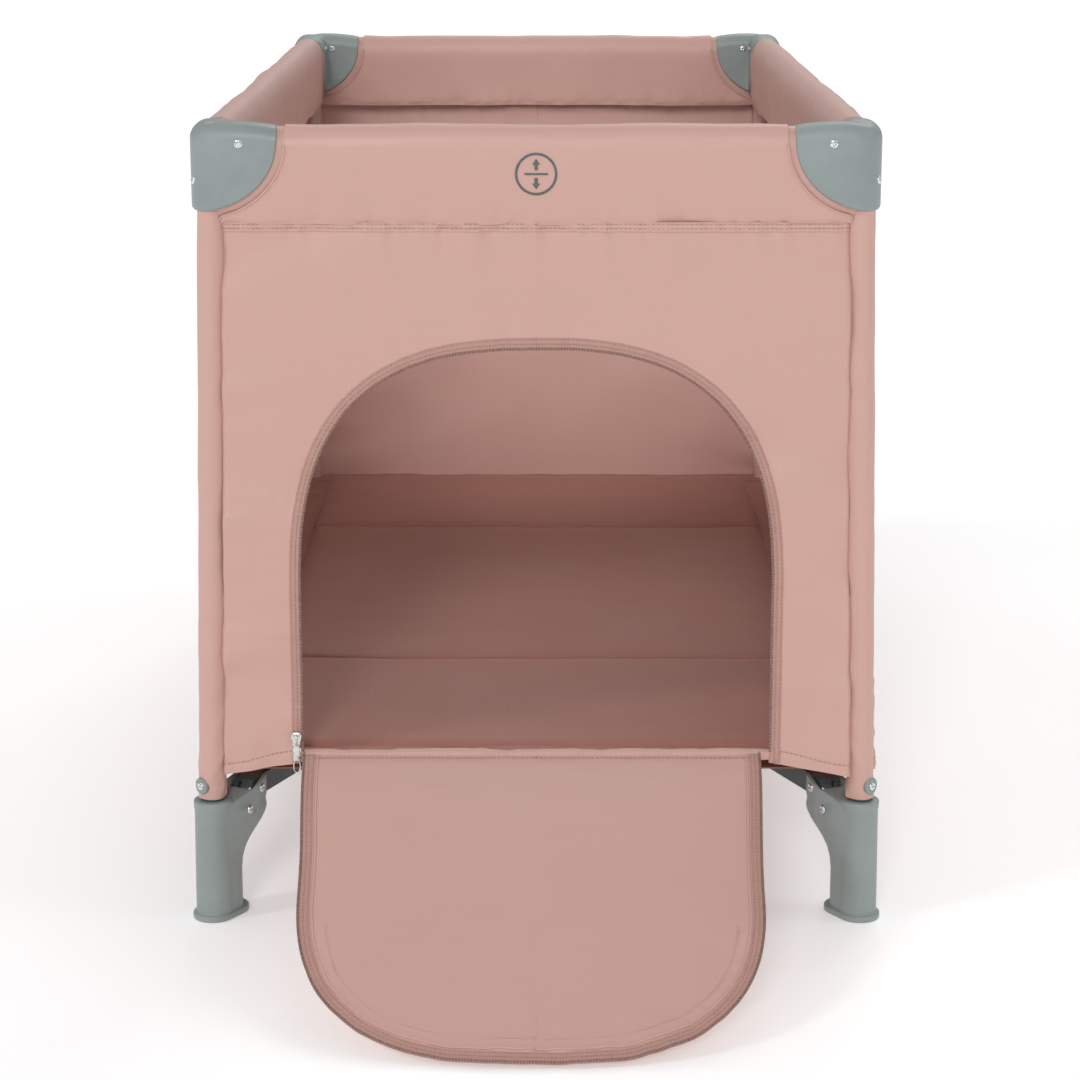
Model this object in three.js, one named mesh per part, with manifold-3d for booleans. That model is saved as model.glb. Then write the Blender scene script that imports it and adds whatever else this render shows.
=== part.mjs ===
// Folding travel cot used as a playpen: a fabric box on a frame that folds towards its middle.
// Millimetres, +Z up. X runs across the cot, Y along it, and the zipped door is in the -Y end.
// The origin is on the floor, in the middle of the support foot under the central hub.
import * as THREE from 'three';
import { mergeVertices } from 'three/addons/utils/BufferGeometryUtils.js';
import Module from 'manifold-3d';

// ---------- driving dimensions ----------
const WIDTH = 650;                 // over the top corner caps, across the cot
const LENGTH = 1250;               // over the top corner caps, along the cot
const HEIGHT = 786;                // floor to the top of the corner caps
const GAP = 0.3;                   // clearance between pieces that touch

const LEG = { radius: 12, bore: 10.6, inset: 19, topZ: 703, lean: 16 / 703, low: 42, high: 742 };
const CAP = { reach: 83, drop: 83, shoulder: 18, thick: 40, round: 28, tip: 5, crown: 15 };
const RAIL = { radius: 9, bore: 7.8, z: 733, inset: 20 };
const COVER = { half: 18.5, wall: 3, bottom: 690, spring: 758, top: 779, roof: 750 };
const PIN = { radius: 3, hole: 3.4 };
const PIVOT = { endX: 262, sideY: 562, latch: 20 };   // rail pivots in the caps and at the latches
const BAR = { z: 126, width: 22, height: 20, wall: 2, overhang: 10 };
const HUB_PIVOT = 46;              // hub pivots lie at X = Y = this distance from the middle
const EAR = { inner: 12.5, thick: 4, radius: 11 };
const FOOT = { collar: 17, top: 124, sole: 10, soleRadius: 20, body: 17.5, bodyTop: 66 };
const PANEL = { thick: 3, offset: 9, bottom: 150, top: 686, legGap: 13 };
const DOOR = { half: 230, sill: 168, spring: 330, top: 573, power: 2.7 };
const FLAP = { half: 226, hingeZ: 172, start: 4, length: 390, thick: 4, tipZ: 4 };
const FLOOR_CLOTH = { halfX: 298, halfY: 604, z: 139, thick: 3, slotX: 62, slotY: 24 };
const MATTRESS = { halfX: 290, halfY: 598, bottom: 145, thick: 30, seam: 1 };
const ZIP = { x: -234, boxZ: 176, sliderZ: 189 };

// the frame folds about pivots whose spacing is the same in the rails and, in plan, in the bars
const END_SPAN = PIVOT.endX - PIVOT.latch;
const SIDE_SPAN = PIVOT.sideY - PIVOT.latch;
const BAR_SPAN = Math.hypot(END_SPAN, SIDE_SPAN);
const BAR_DIR = new THREE.Vector3(END_SPAN / BAR_SPAN, SIDE_SPAN / BAR_SPAN, 0);
const RAIL_Y = LENGTH / 2 - RAIL.inset;
const RAIL_X = WIDTH / 2 - RAIL.inset;

// ---------- materials ----------
const paint = (color, roughness, metalness = 0) =>
  new THREE.MeshStandardMaterial({ color, roughness, metalness });
const FINISH = {
  plastic: paint(0x8b9793, 0.5),
  steel: paint(0x56625f, 0.45, 0.6),
  bright: paint(0xc9c9c7, 0.25, 0.9),
  satin: paint(0xcfa598, 0.6),
  lining: paint(0x9d6c60, 0.8),
  webbing: paint(0x8c4a44, 0.8),
};

// ---------- solid helpers ----------
const wasm = await Module();
wasm.setup();

function solid(geometry) {
  const bare = new THREE.BufferGeometry();
  bare.setAttribute('position', geometry.getAttribute('position').clone());
  if (geometry.index) bare.setIndex(geometry.index.clone());
  const merged = mergeVertices(bare, 1e-4);
  return new wasm.Manifold(new wasm.Mesh({
    numProp: 3,
    vertProperties: new Float32Array(merged.getAttribute('position').array),
    triVerts: new Uint32Array(merged.index.array),
  }));
}

function geometryOf(body) {
  const mesh = body.getMesh();
  const geometry = new THREE.BufferGeometry();
  geometry.setAttribute('position', new THREE.BufferAttribute(new Float32Array(mesh.vertProperties), 3));
  geometry.setIndex(new THREE.BufferAttribute(new Uint32Array(mesh.triVerts), 1));
  return geometry;
}

const join = (...bodies) => bodies.reduce((whole, body) => whole.add(body));
const cut = (body, ...tools) => tools.reduce((whole, tool) => whole.subtract(tool), body);

function box(x0, x1, y0, y1, z0, z1) {
  const geometry = new THREE.BoxGeometry(x1 - x0, y1 - y0, z1 - z0);
  return solid(geometry.translate((x0 + x1) / 2, (y0 + y1) / 2, (z0 + z1) / 2));
}

// a round bar from one point to another
function rod(from, to, radius, sides = 16, endRadius = radius) {
  const way = new THREE.Vector3().subVectors(to, from);
  const geometry = new THREE.CylinderGeometry(endRadius, radius, way.length(), sides);
  geometry.translate(0, way.length() / 2, 0);
  const turn = new THREE.Quaternion().setFromUnitVectors(new THREE.Vector3(0, 1, 0), way.normalize());
  return solid(geometry.applyQuaternion(turn).translate(from.x, from.y, from.z));
}

// an outline in (X, Z), given its thickness along Y from y0 to y1
function slabAcross(shape, y0, y1, curveSegments = 12) {
  const geometry = new THREE.ExtrudeGeometry(shape, { depth: y1 - y0, bevelEnabled: false, curveSegments });
  return solid(geometry.rotateX(Math.PI / 2).translate(0, y1, 0));
}

// an outline in (X, Y), given its height from z0 to z1
function slabUp(shape, z0, z1, curveSegments = 12) {
  const geometry = new THREE.ExtrudeGeometry(shape, { depth: z1 - z0, bevelEnabled: false, curveSegments });
  return solid(geometry.translate(0, 0, z0));
}

// an outline in (Y, Z), given its length along X from x0 to x1
function ontoX(shape, x0, x1, curveSegments) {
  const geometry = new THREE.ExtrudeGeometry(shape, { depth: x1 - x0, bevelEnabled: false, curveSegments });
  const place = geometry.getAttribute('position');
  for (let i = 0; i < place.count; i += 1) {
    place.setXYZ(i, place.getZ(i) + x0, place.getX(i), place.getY(i));
  }
  return geometry;
}

// turns a piece made across the cot (along X) into one made along it (along Y), still in +X +Y
function swapXY(geometry) {
  const place = geometry.getAttribute('position');
  for (let i = 0; i < place.count; i += 1) {
    place.setXYZ(i, place.getY(i), place.getX(i), place.getZ(i));
  }
  return flipped(geometry);
}

// two long straight sides joined by half circles, centred on two points of a plane
function stadium(ax, ay, bx, by, radius) {
  const heading = Math.atan2(by - ay, bx - ax);
  const shape = new THREE.Shape();
  shape.absarc(bx, by, radius, heading - Math.PI / 2, heading + Math.PI / 2, false);
  shape.absarc(ax, ay, radius, heading + Math.PI / 2, heading + 1.5 * Math.PI, false);
  shape.closePath();
  return shape;
}

function outline(points) {
  const shape = new THREE.Shape();
  points.forEach(([x, y], i) => (i ? shape.lineTo(x, y) : shape.moveTo(x, y)));
  shape.closePath();
  return shape;
}

function flipped(geometry) {
  const index = geometry.index.array;
  for (let i = 0; i < index.length; i += 3) {
    const kept = index[i];
    index[i] = index[i + 1];
    index[i + 1] = kept;
  }
  return geometry;
}

// pieces are drawn in the back right quarter (+X, +Y) and mirrored into the other three
function mirrored(geometry, sx, sy) {
  const copy = geometry.clone().scale(sx, sy, 1);
  return sx * sy < 0 ? flipped(copy) : copy;
}

const group = new THREE.Group();

function add(name, body, finish) {
  const geometry = body instanceof THREE.BufferGeometry ? body : geometryOf(body);
  const mesh = new THREE.Mesh(geometry, finish);
  mesh.name = name;
  group.add(mesh);
}

// ---------- legs, feet and corner caps ----------
// the legs lean outwards a little towards the floor
const legOffset = (z) => (LEG.topZ - z) * LEG.lean;
const legPoint = (z) => new THREE.Vector3(
  WIDTH / 2 - LEG.inset + legOffset(z), LENGTH / 2 - LEG.inset + legOffset(z), z);

function legTube() {
  const shell = rod(legPoint(LEG.low), legPoint(LEG.high), LEG.radius);
  return cut(shell, rod(legPoint(LEG.low - 5), legPoint(LEG.high + 5), LEG.bore));
}

// the fan outline of a cap face, measured inwards from the outer side
function capFan(outer) {
  const shape = new THREE.Shape();
  const edge = outer - CAP.reach;
  const tip = outer - CAP.tip;
  shape.moveTo(outer, HEIGHT - CAP.drop);
  shape.lineTo(outer, HEIGHT - 4);
  shape.quadraticCurveTo(outer - CAP.reach / 2, HEIGHT + 4, edge, HEIGHT - 4);
  shape.lineTo(edge, HEIGHT - CAP.shoulder);
  shape.absellipse(tip, HEIGHT - CAP.shoulder, CAP.reach - CAP.tip, CAP.drop - CAP.shoulder,
    Math.PI, 1.5 * Math.PI, false);
  shape.closePath();
  return shape;
}

// one arm of a cap, drawn along X: the fan outline, with its top rounded across the arm
function capArm(outer, side) {
  const fan = slabAcross(capFan(outer), side - CAP.thick, side, 8);
  const crown = new THREE.Shape();
  crown.moveTo(side - CAP.thick, HEIGHT - CAP.drop - 5);
  crown.lineTo(side, HEIGHT - CAP.drop - 5);
  crown.absarc(side - CAP.crown, HEIGHT - CAP.crown, CAP.crown, 0, Math.PI / 2, false);
  crown.absarc(side - CAP.thick + CAP.crown, HEIGHT - CAP.crown, CAP.crown, Math.PI / 2, Math.PI, false);
  crown.closePath();
  return fan.intersect(solid(ontoX(crown, outer - CAP.reach - 5, outer + 5, 4)));
}

function cornerCap() {
  const across = capArm(WIDTH / 2, LENGTH / 2);
  const along = capArm(LENGTH / 2, WIDTH / 2);
  const alongY = solid(swapXY(geometryOf(along)));
  const plan = new THREE.Shape();
  const reach = CAP.reach + 5;
  plan.moveTo(WIDTH / 2 - reach, LENGTH / 2 - reach);
  plan.lineTo(WIDTH / 2, LENGTH / 2 - reach);
  plan.absarc(WIDTH / 2 - CAP.round, LENGTH / 2 - CAP.round, CAP.round, 0, Math.PI / 2, false);
  plan.lineTo(WIDTH / 2 - reach, LENGTH / 2);
  plan.closePath();
  const body = join(across, alongY).intersect(slabUp(plan, 0, HEIGHT + 1, 6));
  const slot = RAIL.radius + 0.8;
  const roof = RAIL.z + RAIL.radius + 1;
  const past = RAIL.radius + 1.5;
  const endSlot = box(WIDTH / 2 - reach, PIVOT.endX + past, RAIL_Y - slot, RAIL_Y + slot, 600, roof);
  const sideSlot = box(RAIL_X - slot, RAIL_X + slot, LENGTH / 2 - reach, PIVOT.sideY + past, 600, roof);
  const socket = rod(legPoint(600), legPoint(LEG.high + 2), LEG.radius + GAP);
  const pins = join(
    rod(new THREE.Vector3(PIVOT.endX, RAIL_Y - 12, RAIL.z), new THREE.Vector3(PIVOT.endX, RAIL_Y + 12, RAIL.z),
      PIN.radius, 10),
    rod(new THREE.Vector3(RAIL_X - 12, PIVOT.sideY, RAIL.z), new THREE.Vector3(RAIL_X + 12, PIVOT.sideY, RAIL.z),
      PIN.radius, 10));
  return cut(body, endSlot, sideSlot, socket).add(pins);
}

// the outer end of a base bar, where the foot holds it
const barEnd = new THREE.Vector3(HUB_PIVOT + END_SPAN, HUB_PIVOT + SIDE_SPAN, BAR.z);
const hubEnd = new THREE.Vector3(HUB_PIVOT, HUB_PIVOT, BAR.z);

// two ears that hold a bar between them, drawn along the bar from a pivot towards their root
function ears(pivot, towards) {
  const plates = [-1, 1].map((side) => {
    const y0 = side * (EAR.inner + EAR.thick / 2) - EAR.thick / 2;
    return slabAcross(stadium(0, 0, towards, 0, EAR.radius), y0, y0 + EAR.thick, 6);
  });
  const reach = EAR.inner + EAR.thick;
  const pin = rod(new THREE.Vector3(0, -reach, 0), new THREE.Vector3(0, reach, 0), PIN.radius, 10);
  return alongBar(join(...plates, pin), pivot);
}

// moves a piece drawn along +X at the origin so that it lies along a base bar at a point
function alongBar(body, at) {
  const geometry = geometryOf(body).rotateZ(Math.atan2(BAR_DIR.y, BAR_DIR.x));
  return solid(geometry.translate(at.x, at.y, at.z));
}

function foot() {
  const sole = slabUp(stadium(320, 620, 306, 598, FOOT.soleRadius), 0, FOOT.sole, 6);
  const body = slabUp(stadium(319, 619, 308, 601, FOOT.body), FOOT.sole - 1, FOOT.bodyTop, 6);
  const collar = rod(legPoint(20), legPoint(FOOT.top), FOOT.collar);
  const root = alongBar(box(18, 46, -EAR.inner - EAR.thick, EAR.inner + EAR.thick, -12, 11), barEnd);
  const socket = rod(legPoint(LEG.low - 2), legPoint(FOOT.top + 30), LEG.radius + GAP);
  return cut(join(sole, body, collar, root, ears(barEnd, 30)), socket);
}

// ---------- base bars and hub ----------
function baseBar() {
  const half = BAR.width / 2;
  const inside = half - BAR.wall;
  const rise = BAR.height / 2;
  const whole = box(-BAR.overhang, BAR_SPAN + BAR.overhang, -half, half, -rise, rise);
  const hollow = box(-30, BAR_SPAN + 30, -inside, inside, -rise - 5, rise - BAR.wall);
  const holes = [0, BAR_SPAN].map((x) =>
    rod(new THREE.Vector3(x, -20, 0), new THREE.Vector3(x, 20, 0), PIN.hole, 10));
  return alongBar(cut(whole, hollow, ...holes), hubEnd);
}

function hub() {
  const core = box(-52, 52, -15, 15, BAR.z - 12, BAR.z + 11);
  const stem = rod(new THREE.Vector3(0, 0, 5), new THREE.Vector3(0, 0, BAR.z), 14);
  const sole = rod(new THREE.Vector3(0, 0, 0), new THREE.Vector3(0, 0, 12), 36, 28);
  const pair = geometryOf(ears(hubEnd, -42));
  const quarters = [[1, 1], [-1, 1], [-1, -1], [1, -1]].map(([sx, sy]) => solid(mirrored(pair, sx, sy)));
  return join(core, stem, sole, ...quarters);
}

// the webbing loop that lifts the hub to fold the frame, lying flat on it
function pullStrap() {
  const z = BAR.z + 11 + GAP;
  return cut(box(-46, 46, -14, 14, z, z + 4), box(-34, 34, -6, 6, z - 1, z + 6));
}

// ---------- top rails, covers and centre latches ----------
// half a rail: a tube whose ends are rounded about the two pins that it turns on
function halfRail(outerPivot, offset) {
  const from = new THREE.Vector3(0, offset, RAIL.z);
  const to = new THREE.Vector3(outerPivot + 40, offset, RAIL.z);
  const tube = cut(rod(from, to, RAIL.radius, 16), rod(from, to.clone().setX(to.x + 1), RAIL.bore, 16)
    .add(rod(new THREE.Vector3(-5, offset, RAIL.z), from, RAIL.bore, 16)));
  const ends = slabAcross(stadium(PIVOT.latch, RAIL.z, outerPivot, RAIL.z, RAIL.radius),
    offset - 15, offset + 15, 6);
  const holes = [PIVOT.latch, outerPivot].map((x) =>
    rod(new THREE.Vector3(x, offset - 15, RAIL.z), new THREE.Vector3(x, offset + 15, RAIL.z), PIN.hole, 10));
  return cut(tube.intersect(ends), ...holes);
}

// half a padded cover: a deep sleeve, open below, that hides the rail and its latch
function halfCover(outer, offset) {
  const inside = COVER.half - COVER.wall;
  const shape = new THREE.Shape();
  shape.moveTo(offset - COVER.half, COVER.bottom);
  shape.lineTo(offset - COVER.half, COVER.spring);
  shape.absellipse(offset, COVER.spring, COVER.half, COVER.top - COVER.spring, Math.PI, 0, true);
  shape.lineTo(offset + COVER.half, COVER.bottom);
  shape.lineTo(offset + inside, COVER.bottom);
  shape.lineTo(offset + inside, COVER.roof);
  shape.lineTo(offset - inside, COVER.roof);
  shape.lineTo(offset - inside, COVER.bottom);
  shape.closePath();
  return solid(ontoX(shape, 1, outer, 8));
}

// the channel that joins two half rails in the middle of a side, drawn across the cot at +Y
const LATCH = { half: 42, cheek: 11.5, inner: 9.7, floor: 12.4, top: 8, web: 6, hole: 7.5 };

function latch(offset) {
  const z = RAIL.z;
  const whole = box(-LATCH.half, LATCH.half, offset - LATCH.cheek, offset + LATCH.cheek,
    z - LATCH.floor, z + LATCH.top);
  const sides = [-1, 1].map((side) => box(
    side > 0 ? LATCH.web : -LATCH.half - 5, side > 0 ? LATCH.half + 5 : -LATCH.web,
    offset - LATCH.inner, offset + LATCH.inner, z - RAIL.radius - 1, z + 30));
  const well = rod(new THREE.Vector3(0, offset + 5.5, z), new THREE.Vector3(0, offset + 30, z), LATCH.hole, 16);
  const pins = [-1, 1].map((side) => rod(
    new THREE.Vector3(side * PIVOT.latch, offset - 11, z),
    new THREE.Vector3(side * PIVOT.latch, offset + 11, z), PIN.radius, 10));
  return join(cut(whole, ...sides, well), ...pins);
}

function latchButton(offset) {
  return rod(new THREE.Vector3(0, offset + 9.3, RAIL.z), new THREE.Vector3(0, offset + 14.3, RAIL.z),
    LATCH.hole - 0.6, 16, LATCH.hole - 1.2);
}

// ---------- cloth walls ----------
// the walls lean with the legs
function leaned(geometry, sideOn) {
  const place = geometry.getAttribute('position');
  for (let i = 0; i < place.count; i += 1) {
    const shift = legOffset(place.getZ(i));
    if (sideOn) place.setX(i, place.getX(i) + shift);
    else place.setY(i, place.getY(i) + shift);
  }
  return geometry;
}

// half a wall: from the middle of a side to just short of a leg
function wallShape(outerAtTop) {
  const edge = (z) => outerAtTop - PANEL.legGap + legOffset(z);
  return outline([[0.5, PANEL.bottom], [edge(PANEL.bottom), PANEL.bottom], [edge(PANEL.top), PANEL.top],
    [0.5, PANEL.top]]);
}

// half an arch: straight sides to the spring line, then a squared-off ellipse to the top
function archShape(half, bottom, spring, top, inner) {
  const points = [[inner, bottom], [half, bottom]];
  const steps = 16;
  for (let i = 0; i <= steps; i += 1) {
    const t = (i / steps) * (Math.PI / 2);
    const x = half * Math.cos(t) ** (2 / DOOR.power);
    const y = spring + (top - spring) * Math.sin(t) ** (2 / DOOR.power);
    points.push([Math.max(x, inner), y]);
  }
  return outline(points);
}

const WALL_Y = LENGTH / 2 - LEG.inset + PANEL.offset;
const WALL_X = WIDTH / 2 - LEG.inset + PANEL.offset;

function endWall(withDoor) {
  const wall = slabAcross(wallShape(WIDTH / 2 - LEG.inset), WALL_Y - PANEL.thick / 2, WALL_Y + PANEL.thick / 2);
  if (!withDoor) return leaned(geometryOf(wall), false);
  const door = slabAcross(archShape(DOOR.half, DOOR.sill, DOOR.spring, DOOR.top, -1),
    WALL_Y - 10, WALL_Y + 10);
  return leaned(geometryOf(cut(wall, door)), false);
}

function sideWall() {
  const wall = slabAcross(wallShape(LENGTH / 2 - LEG.inset), WALL_X - PANEL.thick / 2, WALL_X + PANEL.thick / 2);
  return leaned(swapXY(geometryOf(wall)), true);
}

// ---------- door flap ----------
const HINGE_Y = -(WALL_Y + legOffset(FLAP.hingeZ));
const FLAP_DROP = Math.asin((FLAP.hingeZ - FLAP.tipZ) / FLAP.length);

// half the flap, drawn flat along +Y from its hinge, then turned down to the floor in front
function flapHalf(sx) {
  const straight = DOOR.spring - FLAP.hingeZ;
  const shape = archShape(FLAP.half, FLAP.start, straight, FLAP.length, 0.5);
  const geometry = geometryOf(slabUp(shape, -FLAP.thick / 2, FLAP.thick / 2));
  geometry.rotateX(-FLAP_DROP).rotateZ(Math.PI).scale(-1, 1, 1);
  const quarter = flipped(geometry.translate(0, HINGE_Y, FLAP.hingeZ));
  return sx > 0 ? quarter : mirrored(quarter, -1, 1);
}

// ---------- floor cloth and mattress ----------
function floorCloth() {
  const { halfX, halfY, z, thick, slotX, slotY } = FLOOR_CLOTH;
  return cut(box(-halfX, halfX, -halfY, halfY, z, z + thick), box(-slotX, slotX, -slotY, slotY, z - 1, z + 9));
}

function mattressBoard(y0, y1) {
  const top = MATTRESS.bottom + MATTRESS.thick;
  return box(-MATTRESS.halfX, MATTRESS.halfX, y0, y1, MATTRESS.bottom, top);
}

// ---------- zip fittings, at the foot of the door's left edge ----------
function zipBox(wallY) {
  return box(ZIP.x - 4, ZIP.x + 4, wallY - 6, wallY - 2, ZIP.boxZ - 4, ZIP.boxZ + 4);
}

function zipSlider(wallY) {
  const body = box(ZIP.x - 5, ZIP.x + 5, wallY - 6.5, wallY - 2, ZIP.sliderZ - 7, ZIP.sliderZ + 7);
  const lug = box(ZIP.x - 1.5, ZIP.x + 1.5, wallY - 10, wallY - 6, ZIP.sliderZ - 3, ZIP.sliderZ + 1.2);
  return join(body, lug);
}

function zipPull(wallY) {
  const plate = box(ZIP.x - 4, ZIP.x + 4, wallY - 9.5, wallY - 7.5, ZIP.sliderZ - 34, ZIP.sliderZ + 4);
  return cut(plate, box(ZIP.x - 2.2, ZIP.x + 2.2, wallY - 20, wallY, ZIP.sliderZ - 4, ZIP.sliderZ + 1.5));
}

// ---------- the whole cot ----------
const CAP_EDGE = CAP.reach + 2;
const quarterPieces = [
  ['foot', geometryOf(foot()), FINISH.plastic],
  ['leg_tube', geometryOf(legTube()), FINISH.satin],
  ['corner_cap', geometryOf(cornerCap()), FINISH.plastic],
  ['base_bar', geometryOf(baseBar()), FINISH.steel],
  ['end_rail', geometryOf(halfRail(PIVOT.endX, RAIL_Y)), FINISH.steel],
  ['side_rail', swapXY(geometryOf(halfRail(PIVOT.sideY, RAIL_X))), FINISH.steel],
  ['end_rail_cover', geometryOf(halfCover(WIDTH / 2 - CAP_EDGE, RAIL_Y)), FINISH.satin],
  ['side_rail_cover', swapXY(geometryOf(halfCover(LENGTH / 2 - CAP_EDGE, RAIL_X))), FINISH.satin],
  ['side_wall', sideWall(), FINISH.satin],
];
const QUARTERS = [
  ['front_left', -1, -1], ['front_right', 1, -1], ['back_left', -1, 1], ['back_right', 1, 1],
];
for (const [place, sx, sy] of QUARTERS) {
  for (const [piece, geometry, finish] of quarterPieces) {
    add(`${piece}_${place}`, mirrored(geometry, sx, sy), finish);
  }
  add(`end_wall_${place}`, mirrored(endWall(sy < 0), sx, sy), FINISH.satin);
}

add('hub', hub(), FINISH.plastic);
add('hub_pull_strap', pullStrap(), FINISH.webbing);

const endLatch = geometryOf(latch(RAIL_Y));
const endButton = geometryOf(latchButton(RAIL_Y));
const sideLatch = swapXY(geometryOf(latch(RAIL_X)));
const sideButton = swapXY(geometryOf(latchButton(RAIL_X)));
for (const [place, housing, button, sx, sy] of [
  ['front', endLatch, endButton, 1, -1], ['back', endLatch, endButton, 1, 1],
  ['left', sideLatch, sideButton, -1, 1], ['right', sideLatch, sideButton, 1, 1],
]) {
  add(`latch_${place}`, mirrored(housing, sx, sy), FINISH.plastic);
  add(`latch_button_${place}`, mirrored(button, sx, sy), FINISH.plastic);
}

add('floor_cloth', floorCloth(), FINISH.lining);
const third = MATTRESS.halfY / 2;
add('mattress_front', mattressBoard(-MATTRESS.halfY, -third - MATTRESS.seam), FINISH.lining);
add('mattress_middle', mattressBoard(-third, third), FINISH.lining);
add('mattress_back', mattressBoard(third + MATTRESS.seam, MATTRESS.halfY), FINISH.lining);

add('door_flap_left', flapHalf(-1), FINISH.satin);
add('door_flap_right', flapHalf(1), FINISH.satin);

const zipWallY = -(WALL_Y + legOffset(ZIP.sliderZ));
add('zip_box', zipBox(zipWallY), FINISH.bright);
add('zip_slider', zipSlider(zipWallY), FINISH.bright);
add('zip_pull', zipPull(zipWallY), FINISH.bright);

export default group;
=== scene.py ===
"""Looks for a folding travel cot used as a playpen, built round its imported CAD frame. Metres, +Z up."""

import math

import bmesh
import bpy
import numpy as np
from mathutils import Matrix, Vector


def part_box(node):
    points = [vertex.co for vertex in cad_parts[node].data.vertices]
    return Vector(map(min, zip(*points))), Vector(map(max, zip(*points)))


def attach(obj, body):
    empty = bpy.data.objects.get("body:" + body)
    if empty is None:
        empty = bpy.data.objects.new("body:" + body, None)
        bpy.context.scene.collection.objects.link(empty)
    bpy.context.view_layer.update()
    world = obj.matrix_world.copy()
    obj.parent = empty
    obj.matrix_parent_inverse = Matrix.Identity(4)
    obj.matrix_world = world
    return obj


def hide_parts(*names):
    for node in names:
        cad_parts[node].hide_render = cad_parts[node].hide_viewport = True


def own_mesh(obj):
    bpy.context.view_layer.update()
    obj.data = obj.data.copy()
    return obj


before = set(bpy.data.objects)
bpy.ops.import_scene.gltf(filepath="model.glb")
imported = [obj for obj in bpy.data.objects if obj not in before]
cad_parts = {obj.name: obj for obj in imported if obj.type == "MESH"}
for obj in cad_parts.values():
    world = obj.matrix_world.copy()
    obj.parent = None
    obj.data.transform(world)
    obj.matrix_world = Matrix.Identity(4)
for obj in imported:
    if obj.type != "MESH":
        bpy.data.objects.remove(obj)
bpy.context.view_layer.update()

# ---------- sizes: from the frame where it has them ----------
MM = 0.001
CAP_LOW, CAP_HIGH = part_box("corner_cap_back_right")
HALF_WIDTH, HALF_LENGTH, HEIGHT = CAP_HIGH
CAP_REACH = CAP_HIGH.x - CAP_LOW.x
CAP_DROP, CAP_SHOULDER, CAP_THICK, CAP_ROUND = 83 * MM, 18 * MM, 40 * MM, 28 * MM
CAP_TIP, CAP_CROWN = 5 * MM, 15 * MM
CAP_BEND = 23 / 78                           # where an arm of a cap turns into its bend, as a share of the arm
BEND_SCREW_TURN, BEND_SCREW_Z = 64, 732 * MM   # the screw in a cap's bend: degrees round it, and height
LEG_INSET, LEG_TOP, LEAN = 19 * MM, 703 * MM, 16 / 703
END_RAIL_LOW, END_RAIL_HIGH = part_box("end_rail_back_right")
SIDE_RAIL_LOW, SIDE_RAIL_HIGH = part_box("side_rail_back_right")
RAIL_Z = (END_RAIL_LOW.z + END_RAIL_HIGH.z) / 2
RAIL_Y = (END_RAIL_LOW.y + END_RAIL_HIGH.y) / 2
RAIL_X = (SIDE_RAIL_LOW.x + SIDE_RAIL_HIGH.x) / 2
COVER_LOW, COVER_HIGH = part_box("end_rail_cover_back_right")
COVER_HALF = (COVER_HIGH.y - COVER_LOW.y) / 2
COVER_SPRING = 755 * MM                      # the cover's round top starts here
WALL_LOW, WALL_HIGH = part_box("end_wall_back_right")
WALL_Y = WALL_HIGH.y - (LEG_TOP - WALL_LOW.z) * LEAN   # outer face of an end wall, at the leg tops
WALL_X = WALL_Y - HALF_LENGTH + HALF_WIDTH
WALL_EDGE = 9.8 * MM                        # from a leg's axis to the edge of a wall
WALL_TOP, HEM_TOP = 684 * MM, 692 * MM       # the stitched hem between wall and rail cover
DOOR_HALF, DOOR_SPRING, DOOR_TOP, DOOR_POWER = 228 * MM, 330 * MM, 573 * MM, 2.7
DOOR_FOOT, SILL_TOP = 165 * MM, 177 * MM
FLAP_HALF, FLAP_Z, FLAP_START, FLAP_LENGTH = 226 * MM, 172 * MM, 2 * MM, 390 * MM
FLAP_SPRING, FLAP_POWER, FLAP_BOW = 190 * MM, 2.7, 10 * MM
FLAP_DRAWN, FLAP_ASIDE = 0.035, -4.5 * MM    # the cloth draws in towards its tip, and hangs to the left
FLAP_TIP = 4 * MM
WINDOW_HALF, WINDOW_LOW, WINDOW_HIGH, WINDOW_ROUND = 558 * MM, 370 * MM, 668 * MM, 60 * MM
CLOTH = 1.4 * MM                             # how thick the satin is made
QUARTERS = {"front_left": (-1, -1), "front_right": (1, -1), "back_left": (-1, 1), "back_right": (1, 1)}


# ---------- small helpers ----------
def leg_shift(z):
    """How far the leaning legs and walls stand further out at height z than at their tops."""
    return (LEG_TOP - z) * LEAN


def smooth_step(t):
    t = np.clip(t, 0, 1)
    return t * t * (3 - 2 * t)


def fade(distance, reach):
    """1 at a seam, falling to nothing some way from it."""
    return np.exp(-np.maximum(distance, 0) / reach)


def wander(t, wavelength, seed):
    """A smooth random line along t, from -1 to 1, that turns about once a wavelength."""
    values = np.random.default_rng(seed).uniform(-1, 1, 4096)
    place = np.asarray(t) / wavelength + 1000
    cell = np.floor(place).astype(int)
    between = smooth_step(place - cell)
    return values[cell % 4096] * (1 - between) + values[(cell + 1) % 4096] * between


def drift(a, b, wavelength, seed):
    """A smooth random surface over (a, b), from -1 to 1."""
    values = np.random.default_rng(seed).uniform(-1, 1, (256, 256))
    u, v = np.asarray(a) / wavelength + 100, np.asarray(b) / wavelength + 100
    i, j = np.floor(u).astype(int), np.floor(v).astype(int)
    p, q = smooth_step(u - i), smooth_step(v - j)
    i, j, i2, j2 = i % 256, j % 256, (i + 1) % 256, (j + 1) % 256
    low = values[i, j] * (1 - p) + values[i2, j] * p
    high = values[i, j2] * (1 - p) + values[i2, j2] * p
    return low * (1 - q) + high * q


def unit(vectors):
    length = np.linalg.norm(vectors, axis=-1, keepdims=True)
    return vectors / np.maximum(length, 1e-12)


def resampled(path, count):
    """The same line with evenly spaced points."""
    steps = np.linalg.norm(np.diff(path, axis=0), axis=1)
    far = np.concatenate([[0], np.cumsum(steps)])
    at = np.linspace(0, far[-1], count)
    return np.stack([np.interp(at, far, path[:, k]) for k in range(path.shape[1])], axis=1)


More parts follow.
